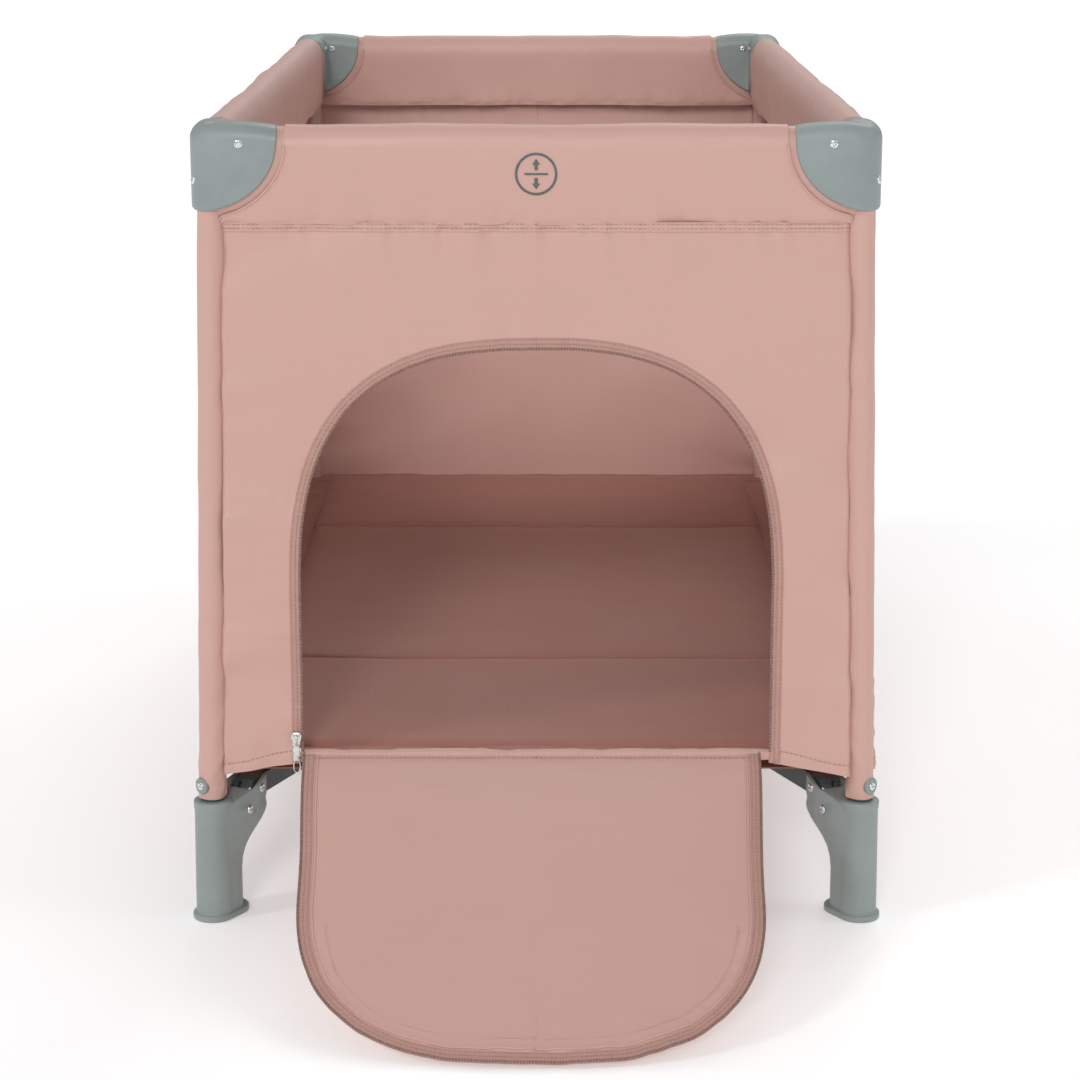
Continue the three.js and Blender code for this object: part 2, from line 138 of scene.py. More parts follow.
def path_length(path):
    return float(np.linalg.norm(np.diff(path, axis=0), axis=1).sum())


def grid_faces(rows, columns, wrap=False):
    """Quads over a grid of points. With wrap, the last column joins the first."""
    index = np.arange(rows * columns).reshape(rows, columns)
    if wrap:
        index = np.concatenate([index, index[:, :1]], axis=1)
    corners = [index[:-1, :-1], index[:-1, 1:], index[1:, 1:], index[1:, :-1]]
    return np.stack(corners, axis=-1).reshape(-1, 4)


def linked(name, data):
    """A new object in the scene for some data."""
    thing = bpy.data.objects.new(name, data)
    bpy.context.scene.collection.objects.link(thing)
    return thing


def scratch(name, points, faces):
    """A bare mesh object to work on, which isn't a piece yet."""
    mesh = bpy.data.meshes.new(name)
    vertices = np.asarray(points, float).reshape(-1, 3).tolist()
    mesh.from_pydata(vertices, [], [list(map(int, face)) for face in faces])
    return linked(name, mesh)


def taken(thing):
    """The mesh of a bare object, which is removed."""
    mesh = thing.data
    bpy.data.objects.remove(thing)
    return mesh


def smooth_shaded(mesh):
    """The mesh, set to shade smooth."""
    mesh.polygons.foreach_set("use_smooth", [True] * len(mesh.polygons))
    return mesh


def place_mesh(name, mesh, material, body):
    """A mesh as a piece that rides on a CAD body."""
    mesh.materials.clear()
    mesh.materials.append(material)
    piece = linked(name, smooth_shaded(mesh))
    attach(piece, body)
    return piece


def build(name, points, faces, material, body):
    """A piece from points and faces."""
    return place_mesh(name, taken(scratch(name, points, faces)), material, body)


def facing(points, faces, outward):
    """The faces, turned over if they look against the outward directions."""
    a, b, c = points[faces[:, 0]], points[faces[:, 1]], points[faces[:, 2]]
    normals = np.cross(b - a, c - a)
    agree = (normals * outward[faces[:, 0]]).sum()
    return faces if agree > 0 else faces[:, ::-1]


def thickened(piece, thick):
    """Gives a sheet its thickness, inwards, with edges that shade apart from its faces."""
    solid = piece.modifiers.new("thickness", "SOLIDIFY")
    solid.thickness = thick
    solid.offset = -1
    graph = bpy.context.evaluated_depsgraph_get()
    mesh = bpy.data.meshes.new_from_object(piece.evaluated_get(graph), depsgraph=graph)
    piece.modifiers.clear()
    piece.data = mesh
    mesh.set_sharp_from_angle(angle=math.radians(50))
    return piece


def cloth_sheet(name, points, outward, material, body, thick=CLOTH, dropped=None):
    """A sheet of cloth over a grid of points, thickened inwards. dropped marks quads that are left out."""
    rows, columns = points.shape[:2]
    flat = points.reshape(-1, 3)
    faces = facing(flat, grid_faces(rows, columns), np.broadcast_to(outward, points.shape).reshape(-1, 3))
    if dropped is not None:
        faces = faces[~dropped.reshape(-1)]
        used, faces = np.unique(faces, return_inverse=True)
        flat, faces = flat[used], faces.reshape(-1, 4)
    piece = build(name, flat, faces, material, body)
    return thickened(piece, thick) if thick else piece


def end_faces(count, rows):
    """The two faces that close a stack of rings."""
    return [list(range(count))[::-1], list(range((rows - 1) * count, rows * count))]


def tube(name, path, radius, material, body, sides=8):
    """A round cord-like trim along a path, closed at both ends."""
    tangents = unit(np.gradient(path, axis=0))
    side = unit(np.cross(tangents, [0.3, 0.2, 0.93]))
    other = np.cross(tangents, side)
    turn = np.linspace(0, 2 * math.pi, sides, endpoint=False)
    ring = np.cos(turn)[None, :, None] * side[:, None] + np.sin(turn)[None, :, None] * other[:, None]
    points = path[:, None] + radius * ring
    faces = facing(points.reshape(-1, 3), grid_faces(len(path), sides, wrap=True), ring.reshape(-1, 3))
    first, last = end_faces(sides, len(path))
    return build(name, points, [*faces.tolist(), first[::-1], last], material, body)


def blocks(name, centres, along, normal, size, material, body):
    """Many small blocks, such as stitches or zip teeth: size is (length, width, height)."""
    along, normal = unit(along), unit(normal)
    side = np.cross(normal, along)
    length, width, height = size
    corners = []
    for lift, shrink in ((-0.3, 1.0), (0.6, 1.0), (1.0, 0.6)):
        for u, v in ((-1, -1), (1, -1), (1, 1), (-1, 1)):
            corners.append(centres + along * u * length / 2 * shrink + side * v * width / 2 * shrink
                           + normal * lift * height)
    points = np.stack(corners, axis=1)
    one = [[3, 2, 1, 0], [8, 9, 10, 11]]
    for base in (0, 4):
        one += [[base + k, base + (k + 1) % 4, base + 4 + (k + 1) % 4, base + 4 + k] for k in range(4)]
    faces = (np.array(one)[None] + 12 * np.arange(len(centres))[:, None, None]).reshape(-1, 4)
    return build(name, points, faces, material, body)


def lofted(name, rings):
    """A closed solid through a stack of rings."""
    count = len(rings[0])
    faces = grid_faces(len(rings), count, wrap=True).tolist()
    return scratch(name, rings, faces + end_faces(count, len(rings)))


def remeshed(solid, cell, rounds):
    """Adds the modifiers that melt a solid's parts into one skin and soften it."""
    remesh = solid.modifiers.new("remesh", "REMESH")
    remesh.mode = "VOXEL"
    remesh.voxel_size = cell
    if rounds:
        soften = solid.modifiers.new("soften", "SMOOTH")
        soften.factor = 0.5
        soften.iterations = rounds


def cut_away(solid, cutter, **how):
    """Adds the modifier that cuts one solid out of another."""
    cut = solid.modifiers.new(cutter.name, "BOOLEAN")
    cut.operation = "DIFFERENCE"
    cut.object = cutter
    for setting, value in how.items():
        setattr(cut, setting, value)


STITCH = (3.1 * MM, 0.75 * MM, 0.45 * MM)
STITCH_PITCH = 4.4 * MM


def stitches(name, path, normals, body):
    """A row of lockstitches along a path on a cloth."""
    normals = np.broadcast_to(normals, path.shape)
    count = max(2, int(path_length(path) / STITCH_PITCH))
    line = resampled(np.concatenate([path, normals], axis=1), count)
    points = line[:, :3]
    return blocks(name, points, np.gradient(points, axis=0), line[:, 3:], STITCH, THREAD, body)


def mirrored(mesh, sx, sy, name):
    """A copy of a mesh drawn in the back right quarter, in another quarter."""
    copy = mesh.copy()
    copy.name = name
    copy.transform(Matrix.Diagonal((sx, sy, 1, 1)))
    if sx * sy < 0:
        copy.flip_normals()
    return copy


def baked(piece):
    """The piece's mesh with its modifiers applied; the piece itself is removed."""
    graph = bpy.context.evaluated_depsgraph_get()
    mesh = bpy.data.meshes.new_from_object(piece.evaluated_get(graph), depsgraph=graph)
    bpy.data.objects.remove(piece)
    return mesh


# ---------- materials ----------
def material_of(name, colour, roughness, metallic=0.0, **sockets):
    """A Principled material with its constants on its own sockets. Returns it with its nodes and links."""
    material = bpy.data.materials.new(name)
    material.use_nodes = True
    tree = material.node_tree
    shader = tree.nodes["Principled BSDF"]
    shader.inputs["Base Color"].default_value = (*colour, 1)
    shader.inputs["Roughness"].default_value = roughness
    shader.inputs["Metallic"].default_value = metallic
    for socket, value in sockets.items():
        shader.inputs[socket.replace("_", " ")].default_value = value
    return material, tree, shader


def noise_at(tree, scale, detail=3.0, stretch=(1, 1, 1), roughness=0.6):
    """Noise over the object's own place, so it moves with the piece."""
    place = tree.nodes.new("ShaderNodeTexCoord")
    mapping = tree.nodes.new("ShaderNodeMapping")
    mapping.inputs["Scale"].default_value = stretch
    noise = tree.nodes.new("ShaderNodeTexNoise")
    noise.inputs["Scale"].default_value = scale
    noise.inputs["Detail"].default_value = detail
    noise.inputs["Roughness"].default_value = roughness
    tree.links.new(place.outputs["Object"], mapping.inputs["Vector"])
    tree.links.new(mapping.outputs["Vector"], noise.inputs["Vector"])
    return noise.outputs["Fac"]


def maths(tree, operation, a, b):
    node = tree.nodes.new("ShaderNodeMath")
    node.operation = operation
    for socket, value in zip(node.inputs, (a, b)):
        if isinstance(value, (int, float)):
            socket.default_value = value
        else:
            tree.links.new(value, socket)
    return node.outputs[0]


def ramp(tree, factor, stops):
    """A colour ramp through (position, colour) stops."""
    node = tree.nodes.new("ShaderNodeValToRGB")
    elements = node.color_ramp.elements
    while len(elements) < len(stops):
        elements.new(0.5)
    for element, (position, colour) in zip(elements, stops):
        element.position = position
        element.color = (*colour, 1)
    tree.links.new(factor, node.inputs["Fac"])
    return node.outputs["Color"]


def spread(tree, value, low, high):
    """Noise from 0.3 to 0.7 turned into the range low to high."""
    node = tree.nodes.new("ShaderNodeMapRange")
    node.inputs["From Min"].default_value = 0.3
    node.inputs["From Max"].default_value = 0.7
    node.inputs["To Min"].default_value = low
    node.inputs["To Max"].default_value = high
    tree.links.new(value, node.inputs["Value"])
    return node.outputs[0]


def bump(tree, shader, height, distance, strength=1.0):
    node = tree.nodes.new("ShaderNodeBump")
    node.inputs["Strength"].default_value = strength
    node.inputs["Distance"].default_value = distance
    tree.links.new(height, node.inputs["Height"])
    tree.links.new(node.outputs["Normal"], shader.inputs["Normal"])


def shade(colour, amount):
    return tuple(min(1.0, c * amount) for c in colour)


def tint(tree, shader, factor, colour, low, high):
    """Mottles a colour: low and high are (position, how much of the colour) at the ends of the range."""
    stops = [(position, shade(colour, amount)) for position, amount in (low, high)]
    tree.links.new(ramp(tree, factor, stops), shader.inputs["Base Color"])


def woven(name, colour, roughness, sheen, warp, weft, contrast=0.05, thread=0.12):
    """A woven cloth: fine uneven threads both ways in colour and bump, and soft patches in gloss."""
    material, tree, shader = material_of(
        name, colour, roughness, Sheen_Weight=sheen, Sheen_Roughness=0.35, Specular_IOR_Level=0.45)
    across = noise_at(tree, 1.0, 2.0, warp)
    along = noise_at(tree, 1.0, 2.0, weft)
    patches = noise_at(tree, 9.0, 3.0)
    threads = maths(tree, "MULTIPLY", maths(tree, "ADD", across, along), 0.5)
    mixed = maths(tree, "ADD", maths(tree, "MULTIPLY", threads, 0.75), maths(tree, "MULTIPLY", patches, 0.25))
    stops = [(0.34, shade(colour, 1 - contrast)), (0.5, colour), (0.66, shade(colour, 1 + contrast))]
    tree.links.new(ramp(tree, mixed, stops), shader.inputs["Base Color"])
    tree.links.new(spread(tree, patches, roughness - 0.05, roughness + 0.06), shader.inputs["Roughness"])
    bump(tree, shader, threads, thread * MM)
    return material


PINK = (0.595, 0.362, 0.312)


def satin_cloth():
    return woven("satin_cloth", PINK, 0.45, 0.03, (14, 14, 1300), (1300, 1300, 10), 0.028, 0.07)


def mattress_cloth():
    # darker than the satin: partly the mattress's own colour, partly painted shade for the cot's floor
    return woven("mattress_cloth", (0.365, 0.160, 0.122), 0.62, 0.2, (30, 1000, 30), (1000, 24, 30), 0.07)


def lining_cloth():
    return woven("lining_cloth", (0.36, 0.19, 0.155), 0.7, 0.15, (30, 1000, 30), (1000, 24, 30), 0.08)


def zip_tape_cloth():
    """Twill tape: close ribs, a little darker than the satin."""
    return woven("zip_tape", (0.48, 0.275, 0.233), 0.65, 0.2, (60, 60, 1800), (1800, 1800, 60), 0.12, 0.2)


def webbing_cloth():
    return woven("webbing", (0.30, 0.11, 0.09), 0.75, 0.3, (900, 60, 60), (60, 1300, 60), 0.2, 0.3)


def thread_material():
    material, tree, shader = material_of("stitching", (0.42, 0.235, 0.198), 0.6, Sheen_Weight=0.3)
    twist = noise_at(tree, 1500.0, 1.0)
    stops = [(0.4, (0.34, 0.18, 0.15)), (0.62, (0.5, 0.29, 0.25))]
    tree.links.new(ramp(tree, twist, stops), shader.inputs["Base Color"])
    bump(tree, shader, twist, 0.1 * MM)
    return material


def window_mesh():
    """Knitted mosquito mesh: staggered round holes in soft grey yarn."""
    pitch = 3.2 * MM
    colour = (0.20, 0.23, 0.225)
    material, tree, shader = material_of("window_mesh", colour, 0.7, Sheen_Weight=0.3)
    place = tree.nodes.new("ShaderNodeTexCoord")
    split = tree.nodes.new("ShaderNodeSeparateXYZ")
    tree.links.new(place.outputs["Object"], split.inputs["Vector"])
    y = maths(tree, "MULTIPLY", split.outputs["Y"], 2 * math.pi / pitch)
    z = maths(tree, "MULTIPLY", split.outputs["Z"], 2 * math.pi / (pitch * 1.3))
    waves = maths(tree, "ADD", maths(tree, "COSINE", maths(tree, "ADD", y, z), 0.0),
                  maths(tree, "COSINE", maths(tree, "SUBTRACT", y, z), 0.0))
    edge = tree.nodes.new("ShaderNodeMapRange")
    edge.inputs["From Min"].default_value = 0.25
    edge.inputs["From Max"].default_value = 0.75
    edge.inputs["To Min"].default_value = 1.0
    edge.inputs["To Max"].default_value = 0.0
    tree.links.new(waves, edge.inputs["Value"])
    tree.links.new(edge.outputs[0], shader.inputs["Alpha"])
    yarn = noise_at(tree, 700.0, 2.0)
    tint(tree, shader, yarn, colour, (0.35, 0.7), (0.65, 1.4))
    bump(tree, shader, waves, 0.3 * MM, 0.5)
    return material


PLASTIC = (0.262, 0.306, 0.300)


def moulded_plastic():
    """Grey moulded plastic with a fine grain and slightly uneven gloss."""
    material, tree, shader = material_of("grey_plastic", PLASTIC, 0.42, Specular_IOR_Level=0.5)
    grain = noise_at(tree, 1400.0, 2.0)
    cloud = noise_at(tree, 22.0, 4.0)
    tint(tree, shader, cloud, PLASTIC, (0.3, 0.93), (0.7, 1.07))
    tree.links.new(spread(tree, cloud, 0.36, 0.5), shader.inputs["Roughness"])
    bump(tree, shader, grain, 0.06 * MM)
    return material


def frame_steel():
    """Dark powder coat: an orange-peel skin over steel."""
    colour = (0.042, 0.072, 0.072)
    material, tree, shader = material_of("frame_steel", colour, 0.38, Specular_IOR_Level=0.5)
    peel = noise_at(tree, 600.0, 2.0)
    cloud = noise_at(tree, 30.0, 3.0)
    tint(tree, shader, cloud, colour, (0.3, 0.8), (0.7, 1.3))
    tree.links.new(spread(tree, cloud, 0.32, 0.46), shader.inputs["Roughness"])
    bump(tree, shader, peel, 0.08 * MM)
    return material


def bright_metal(name, colour, roughness):
    """Plated metal with fine brushing."""
    material, tree, shader = material_of(name, colour, roughness, 1.0)
    brush = noise_at(tree, 1.0, 3.0, (300, 300, 2500))
    tint(tree, shader, brush, colour, (0.3, 0.92), (0.7, 1.05))
    tree.links.new(spread(tree, brush, roughness - 0.04, roughness + 0.05), shader.inputs["Roughness"])
    bump(tree, shader, brush, 0.004 * MM)
    return material


def zip_teeth_plastic():
    colour = (0.25, 0.145, 0.12)
    material, tree, shader = material_of("zip_teeth", colour, 0.35)
    cloud = noise_at(tree, 500.0, 2.0)
    tint(tree, shader, cloud, colour, (0.35, 0.75), (0.65, 1.3))
    bump(tree, shader, cloud, 0.05 * MM)
    return material


def printed_ink():
    """Grey print on cloth, a little worn where the weave shows through."""
    colour = (0.095, 0.115, 0.11)
    material, tree, shader = material_of("printed_ink", colour, 0.6)
    weave = noise_at(tree, 1.0, 2.0, (300, 300, 1500))
    tint(tree, shader, weave, colour, (0.3, 1.35), (0.6, 0.9))
    bump(tree, shader, weave, 0.04 * MM)
    return material


SATIN = satin_cloth()
MATTRESS = mattress_cloth()
LINING = lining_cloth()
TAPE = zip_tape_cloth()
WEBBING = webbing_cloth()
THREAD = thread_material()
WINDOW = window_mesh()
GREY = moulded_plastic()
STEEL = frame_steel()
SCREW = bright_metal("screw_metal", (0.72, 0.74, 0.75), 0.2)
ZIP_METAL = bright_metal("zip_metal", (0.68, 0.68, 0.67), 0.24)
TEETH = zip_teeth_plastic()
INK = printed_ink()


# ---------- camera, floor and light ----------
LENS, EYE, LOOK_DOWN = 93.4, (0.0036, -3.240, 1.043), 14.07     # mm, metres, degrees
# azimuth, elevation, strength and softness of each distant light
SUNS = {"key": (-9, 27, 0.86, 14), "left": (-62, 38, 0.42, 10), "rear": (165, 42, 0.55, 30),
        "side": (84, 40, 0.3, 30)}
SKY, FLOOR_GLOW = 0.47, 0.3
LAMP_WATTS, LAMP_CONE, LAMP_AT, LAMP_TO = 25, 34, (0, -0.6, 1.05), (0, 0.62, 0.38)


def camera():
    data = bpy.data.cameras.new("camera")
    data.lens = LENS
    data.sensor_width = 36
    eye = linked("camera", data)
    eye.location = EYE
    eye.rotation_euler = (math.radians(90 - LOOK_DOWN), 0, 0)
    bpy.context.scene.camera = eye


def sun(name, azimuth, elevation, strength, softness):
    """A soft distant light. Azimuth 0 stands in front of the door end, 90 to the right of it."""
    data = bpy.data.lights.new(name, "SUN")
    data.energy = strength
    data.angle = math.radians(softness)
    light = linked(name, data)
    a, e = math.radians(azimuth), math.radians(elevation)
    way = Vector((math.sin(a) * math.cos(e), -math.cos(a) * math.cos(e), math.sin(e)))
    light.rotation_euler = way.to_track_quat("Z", "Y").to_euler()


def studio():
    """A pale glowing floor, a white room, soft distant lights, and a lamp on the inside of the back wall."""
    colour = (0.9, 0.9, 0.9)
    material, tree, shader = material_of("studio_floor", colour, 0.8, Emission_Color=(1, 1, 1, 1),
                                         Emission_Strength=FLOOR_GLOW)
    cloud = noise_at(tree, 3.0, 3.0)
    tint(tree, shader, cloud, colour, (0.3, 0.985), (0.7, 1))
    far = 30
    corners = [(-far, -far, 0), (far, -far, 0), (far, far, 0), (-far, far, 0)]
    floor = scratch("studio_floor", corners, [(0, 1, 2, 3)])
    floor.data.materials.append(material)
    world = bpy.data.worlds.new("studio")
    bpy.context.scene.world = world
    world.use_nodes = True
    background = world.node_tree.nodes["Background"]
    background.inputs["Color"].default_value = (1, 1, 1, 1)
    background.inputs["Strength"].default_value = SKY
    for name, setting in SUNS.items():
        sun(name, *setting)
    inner = bpy.data.lights.new("inner", "SPOT")
    inner.energy, inner.spot_size = LAMP_WATTS, math.radians(LAMP_CONE)
    inner.spot_blend, inner.shadow_soft_size = 0.9, 0.1
    lamp = linked("inner", inner)
    lamp.location = LAMP_AT
    lamp.rotation_euler = (Vector(LAMP_TO) - lamp.location).to_track_quat("-Z", "Y").to_euler()
    lamp.visible_camera = False
    bpy.context.scene.view_settings.view_transform = "Standard"


camera()
studio()


# ---------- the arch of the door ----------
def arch_curve(half, bottom, spring, top, power, count):
    """Half an arch from its foot to its crown: evenly spaced points and outward normals, in (across, up)."""
    straight = np.linspace(bottom, spring, 60)[:-1]
    turn = np.linspace(0, math.pi / 2, 600)
    across = half * np.cos(turn).clip(0) ** (2 / power)
    up = spring + (top - spring) * np.sin(turn) ** (2 / power)
    line = np.concatenate([np.stack([np.full_like(straight, half), straight], 1), np.stack([across, up], 1)])
    line = resampled(line, count)
    tangent = unit(np.gradient(line, axis=0))
    normal = np.stack([tangent[:, 1], -tangent[:, 0]], axis=1)
    normal[-1] = (0, 1)
    return line, normal


ARCH, ARCH_NORMAL = arch_curve(DOOR_HALF, DOOR_FOOT, DOOR_SPRING, DOOR_TOP, DOOR_POWER, 230)
ARCH_LONG = path_length(ARCH)


def near_arch(x, z):
    """Distance from the door's edge, and how far along it, counted from its left foot round to its right."""
    shape = np.shape(x)
    points = np.stack([np.abs(x).ravel(), np.ravel(z)], axis=1)
    best = np.full(len(points), 9.0)
    place = np.zeros(len(points))
    for k, sample in enumerate(ARCH[::2]):
        away = np.hypot(points[:, 0] - sample[0], points[:, 1] - sample[1])
        closer = away < best
        best[closer] = away[closer]
        place[closer] = ARCH_LONG * 2 * k / (len(ARCH) - 1)
    place = place.reshape(shape)
    return best.reshape(shape), np.where(np.asarray(x) > 0, 2 * ARCH_LONG - place, place)


# ---------- cloth walls ----------
HEM_RISE = DOOR_FOOT - WALL_LOW.z


def wall_bottom(side, across):
    """The lower edge of a wall's cloth: it rises towards the door in the front wall."""
    wave = 1.2 * MM * wander(across, 0.09, 70 + side)
    if side != 0:
        return WALL_LOW.z + wave
    edge = HALF_WIDTH - LEG_INSET
    return WALL_LOW.z + wave + HEM_RISE * smooth_step((edge - np.abs(across)) / (edge - DOOR_HALF))


# sides are numbered: 0 front, 1 back, 2 left, 3 right
def wall_half(side):
    return (HALF_WIDTH if side < 2 else HALF_LENGTH) - LEG_INSET - WALL_EDGE


def relief(side, across, z):
    """How far a wall's cloth stands out from its flat face: slack, hems, and puckers beside each seam."""
    seed = 100 * side + 7
    to_leg = wall_half(side) + leg_shift(z) - np.abs(across)
    to_hem = z - wall_bottom(side, across)
    to_top = WALL_TOP - z
    right = np.where(np.asarray(across) > 0, 5.0, 0.0)
    out = 3.2 * MM * drift(across, z, 0.15, seed) + 0.9 * MM * drift(across, z, 0.06, seed + 1)
    out += 1.4 * MM * wander(z + right, 0.011, seed + 2) * fade(to_leg, 0.022)
    out += 4.0 * MM * wander(z + right + 0.25 * np.abs(across), 0.032, seed + 3) * fade(to_leg, 0.055)
    out += 1.5 * MM * wander(across, 0.008, seed + 4) * fade(to_top, 0.013)
    out += 1.6 * MM * wander(across, 0.03, seed + 5) * fade(to_top, 0.045)
    out += 1.7 * MM * wander(across, 0.02, seed + 6) * fade(to_hem, 0.025)
    out += 0.9 * MM * smooth_step((13 * MM - to_hem) / (1.5 * MM))
    out -= 1.1 * MM * np.exp(-(((to_hem - 11 * MM) / (1.2 * MM)) ** 2))
    out -= 7 * MM * smooth_step((5 * MM - to_leg) / (6 * MM)) ** 2
    out -= 0.8 * MM * fade(to_top, 0.003)
    if side == 0:
        away, place = near_arch(across, z)
        out += 1.3 * MM * wander(place, 0.012, seed + 8) * fade(away, 0.02)
        out += 3.6 * MM * wander(place, 0.04, seed + 9) * fade(away, 0.05)
    return out


def on_wall(side, across, z, lift=0.0):
    """A point on the outer face of a side's wall."""
    across, z = np.broadcast_arrays(np.asarray(across, float), np.asarray(z, float))
    out = relief(side, across, z) + leg_shift(z) + lift
    if side < 2:
        sign = 1 if side else -1
        return np.stack([across, sign * (WALL_Y + out), z], axis=-1)
    sign = 1 if side == 3 else -1
    return np.stack([sign * (WALL_X + out), across, z], axis=-1)


def wall_outward(side):
    return np.array([(0, -1, 0), (0, 1, 0), (-1, 0, 0), (1, 0, 0)][side], float)


def steps(start, end, pitch, fine=None, reach=20 * MM):
    """Evenly spaced values, closer together within reach of both ends."""
    if fine is None or end - start < 3 * reach:
        return np.linspace(start, end, max(2, int((end - start) / pitch) + 1))
    head = np.linspace(start, start + reach, int(reach / fine) + 1)[:-1]
    middle = np.linspace(start + reach, end - reach, int((end - start - 2 * reach) / pitch) + 1)
    tail = np.linspace(end - reach, end, int(reach / fine) + 1)[1:]
    return np.concatenate([head, middle, tail])


def folds_with_leg(piece, side):
    """Gives a piece on a leg its own copy of its mesh."""
    if side < 2:
        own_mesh(piece)
    else:
        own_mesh(piece)
    return piece


def quarters_of(side):
    """The two quarters that share a wall, each with the sign of its half of the wall."""
    if side < 2:
        sy = 1 if side else -1
        return [(name, q[0]) for name, q in QUARTERS.items() if q[1] == sy]
    sx = 1 if side == 3 else -1
    return [(name, q[1]) for name, q in QUARTERS.items() if q[0] == sx]


def wall_cloth(name, points, side, quarter, **how):
    """A sheet on one half of a wall."""
    return cloth_sheet(name, points, wall_outward(side), how.pop("material", SATIN), f"leg_{quarter}", **how)


def wall_seam(name, line, side, quarter):
    """Stitches on one half of a wall."""
    folds_with_leg(stitches(name, line, wall_outward(side), f"leg_{quarter}"), side)


SIDE_NAMES = ("front", "back", "left", "right")


def half_name(side, sign):
    if side < 2:
        return f"{SIDE_NAMES[side]}_{'right' if sign > 0 else 'left'}"
    return f"{SIDE_NAMES[side]}_{'back' if sign > 0 else 'front'}"


def front_wall():
    """Both halves of the wall round the door, drawn in rays from the arch to the wall's outer edge."""
    outer = np.zeros_like(ARCH)
    edge_top = wall_half(0) + leg_shift(WALL_TOP)
    for k, (across, up) in enumerate(ARCH):
        if up <= DOOR_SPRING:
            drop = HEM_RISE * (1 - smooth_step((up - DOOR_FOOT) / 0.06))
            outer[k] = (wall_half(0) + leg_shift(up - drop), up - drop)
            continue
        rise = max(up - DOOR_SPRING, 1e-6)
        to_side = wall_half(0) + leg_shift(up + 0.1)
        reach = min(to_side / max(across, 1e-6), (HEM_TOP - DOOR_SPRING) / rise)
        outer[k] = (min(across * reach, edge_top + leg_shift(DOOR_SPRING)), DOOR_SPRING + rise * reach)
    share = steps(0, 1, 0.028, 0.02, 0.2)
    flat = ARCH[:, None] + (outer - ARCH)[:, None] * share[None, :, None]
    for quarter, sign in quarters_of(0):
        points = on_wall(0, sign * flat[..., 0], flat[..., 1])
        piece = wall_cloth(f"wall_cloth_{half_name(0, sign)}", points, 0, quarter)
        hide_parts(f"end_wall_{quarter}")
        folds_with_leg(piece, 0)


def back_wall():
    for quarter, sign in quarters_of(1):
        across = sign * steps(0, wall_half(1), 4 * MM, 3 * MM)
        share = steps(0, 1, 0.0085, 0.006, 0.04)
        bottom = wall_bottom(1, across)
        z = bottom[None, :] + (HEM_TOP - bottom[None, :]) * share[:, None]
        lean = 1 + leg_shift(z) / wall_half(1)
        points = on_wall(1, across[None, :] * lean, z)
        piece = wall_cloth(f"wall_cloth_{half_name(1, sign)}", points, 1, quarter)
        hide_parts(f"end_wall_{quarter}")
        folds_with_leg(piece, 1)


def in_window(along, z, inset=0.0):
    """True inside the mesh window, whose outer corners are round."""
    high, low, end = WINDOW_HIGH - inset, WINDOW_LOW + inset, WINDOW_HALF - inset
    inside = (np.abs(along) < end) & (z > low) & (z < high)
    past = np.maximum(np.abs(along) - (end - WINDOW_ROUND), 0)
    beyond = np.maximum(np.maximum(z - (high - WINDOW_ROUND), (low + WINDOW_ROUND) - z), 0)
    return inside & (np.hypot(past, beyond) < WINDOW_ROUND)


def side_walls():
    """Each long side: a cloth border and lower panel round a mesh window."""
    for side in (2, 3):
        for quarter, sign in quarters_of(side):
            along = sign * steps(0, wall_half(side), 5 * MM, 3 * MM, 45 * MM)
            share = np.concatenate([steps(0, 0.40, 0.0095, 0.0062, 0.04), np.linspace(0.409, 1, 62)])
            bottom = wall_bottom(side, along)
            z = bottom[None, :] + (HEM_TOP - bottom[None, :]) * share[:, None]
            lean = 1 + leg_shift(z) / wall_half(side)
            spread_along = along[None, :] * lean
            points = on_wall(side, spread_along, z)
            middle_a = (spread_along[:-1, :-1] + spread_along[1:, 1:]) / 2
            middle_z = (z[:-1, :-1] + z[1:, 1:]) / 2
            open_quads = in_window(middle_a, middle_z, 3 * MM)
            name = half_name(side, sign)
            border = wall_cloth(f"wall_cloth_{name}", points, side, quarter, dropped=open_quads)
            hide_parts(f"side_wall_{quarter}")
            folds_with_leg(border, side)
            window_panel(side, sign, quarter, name)


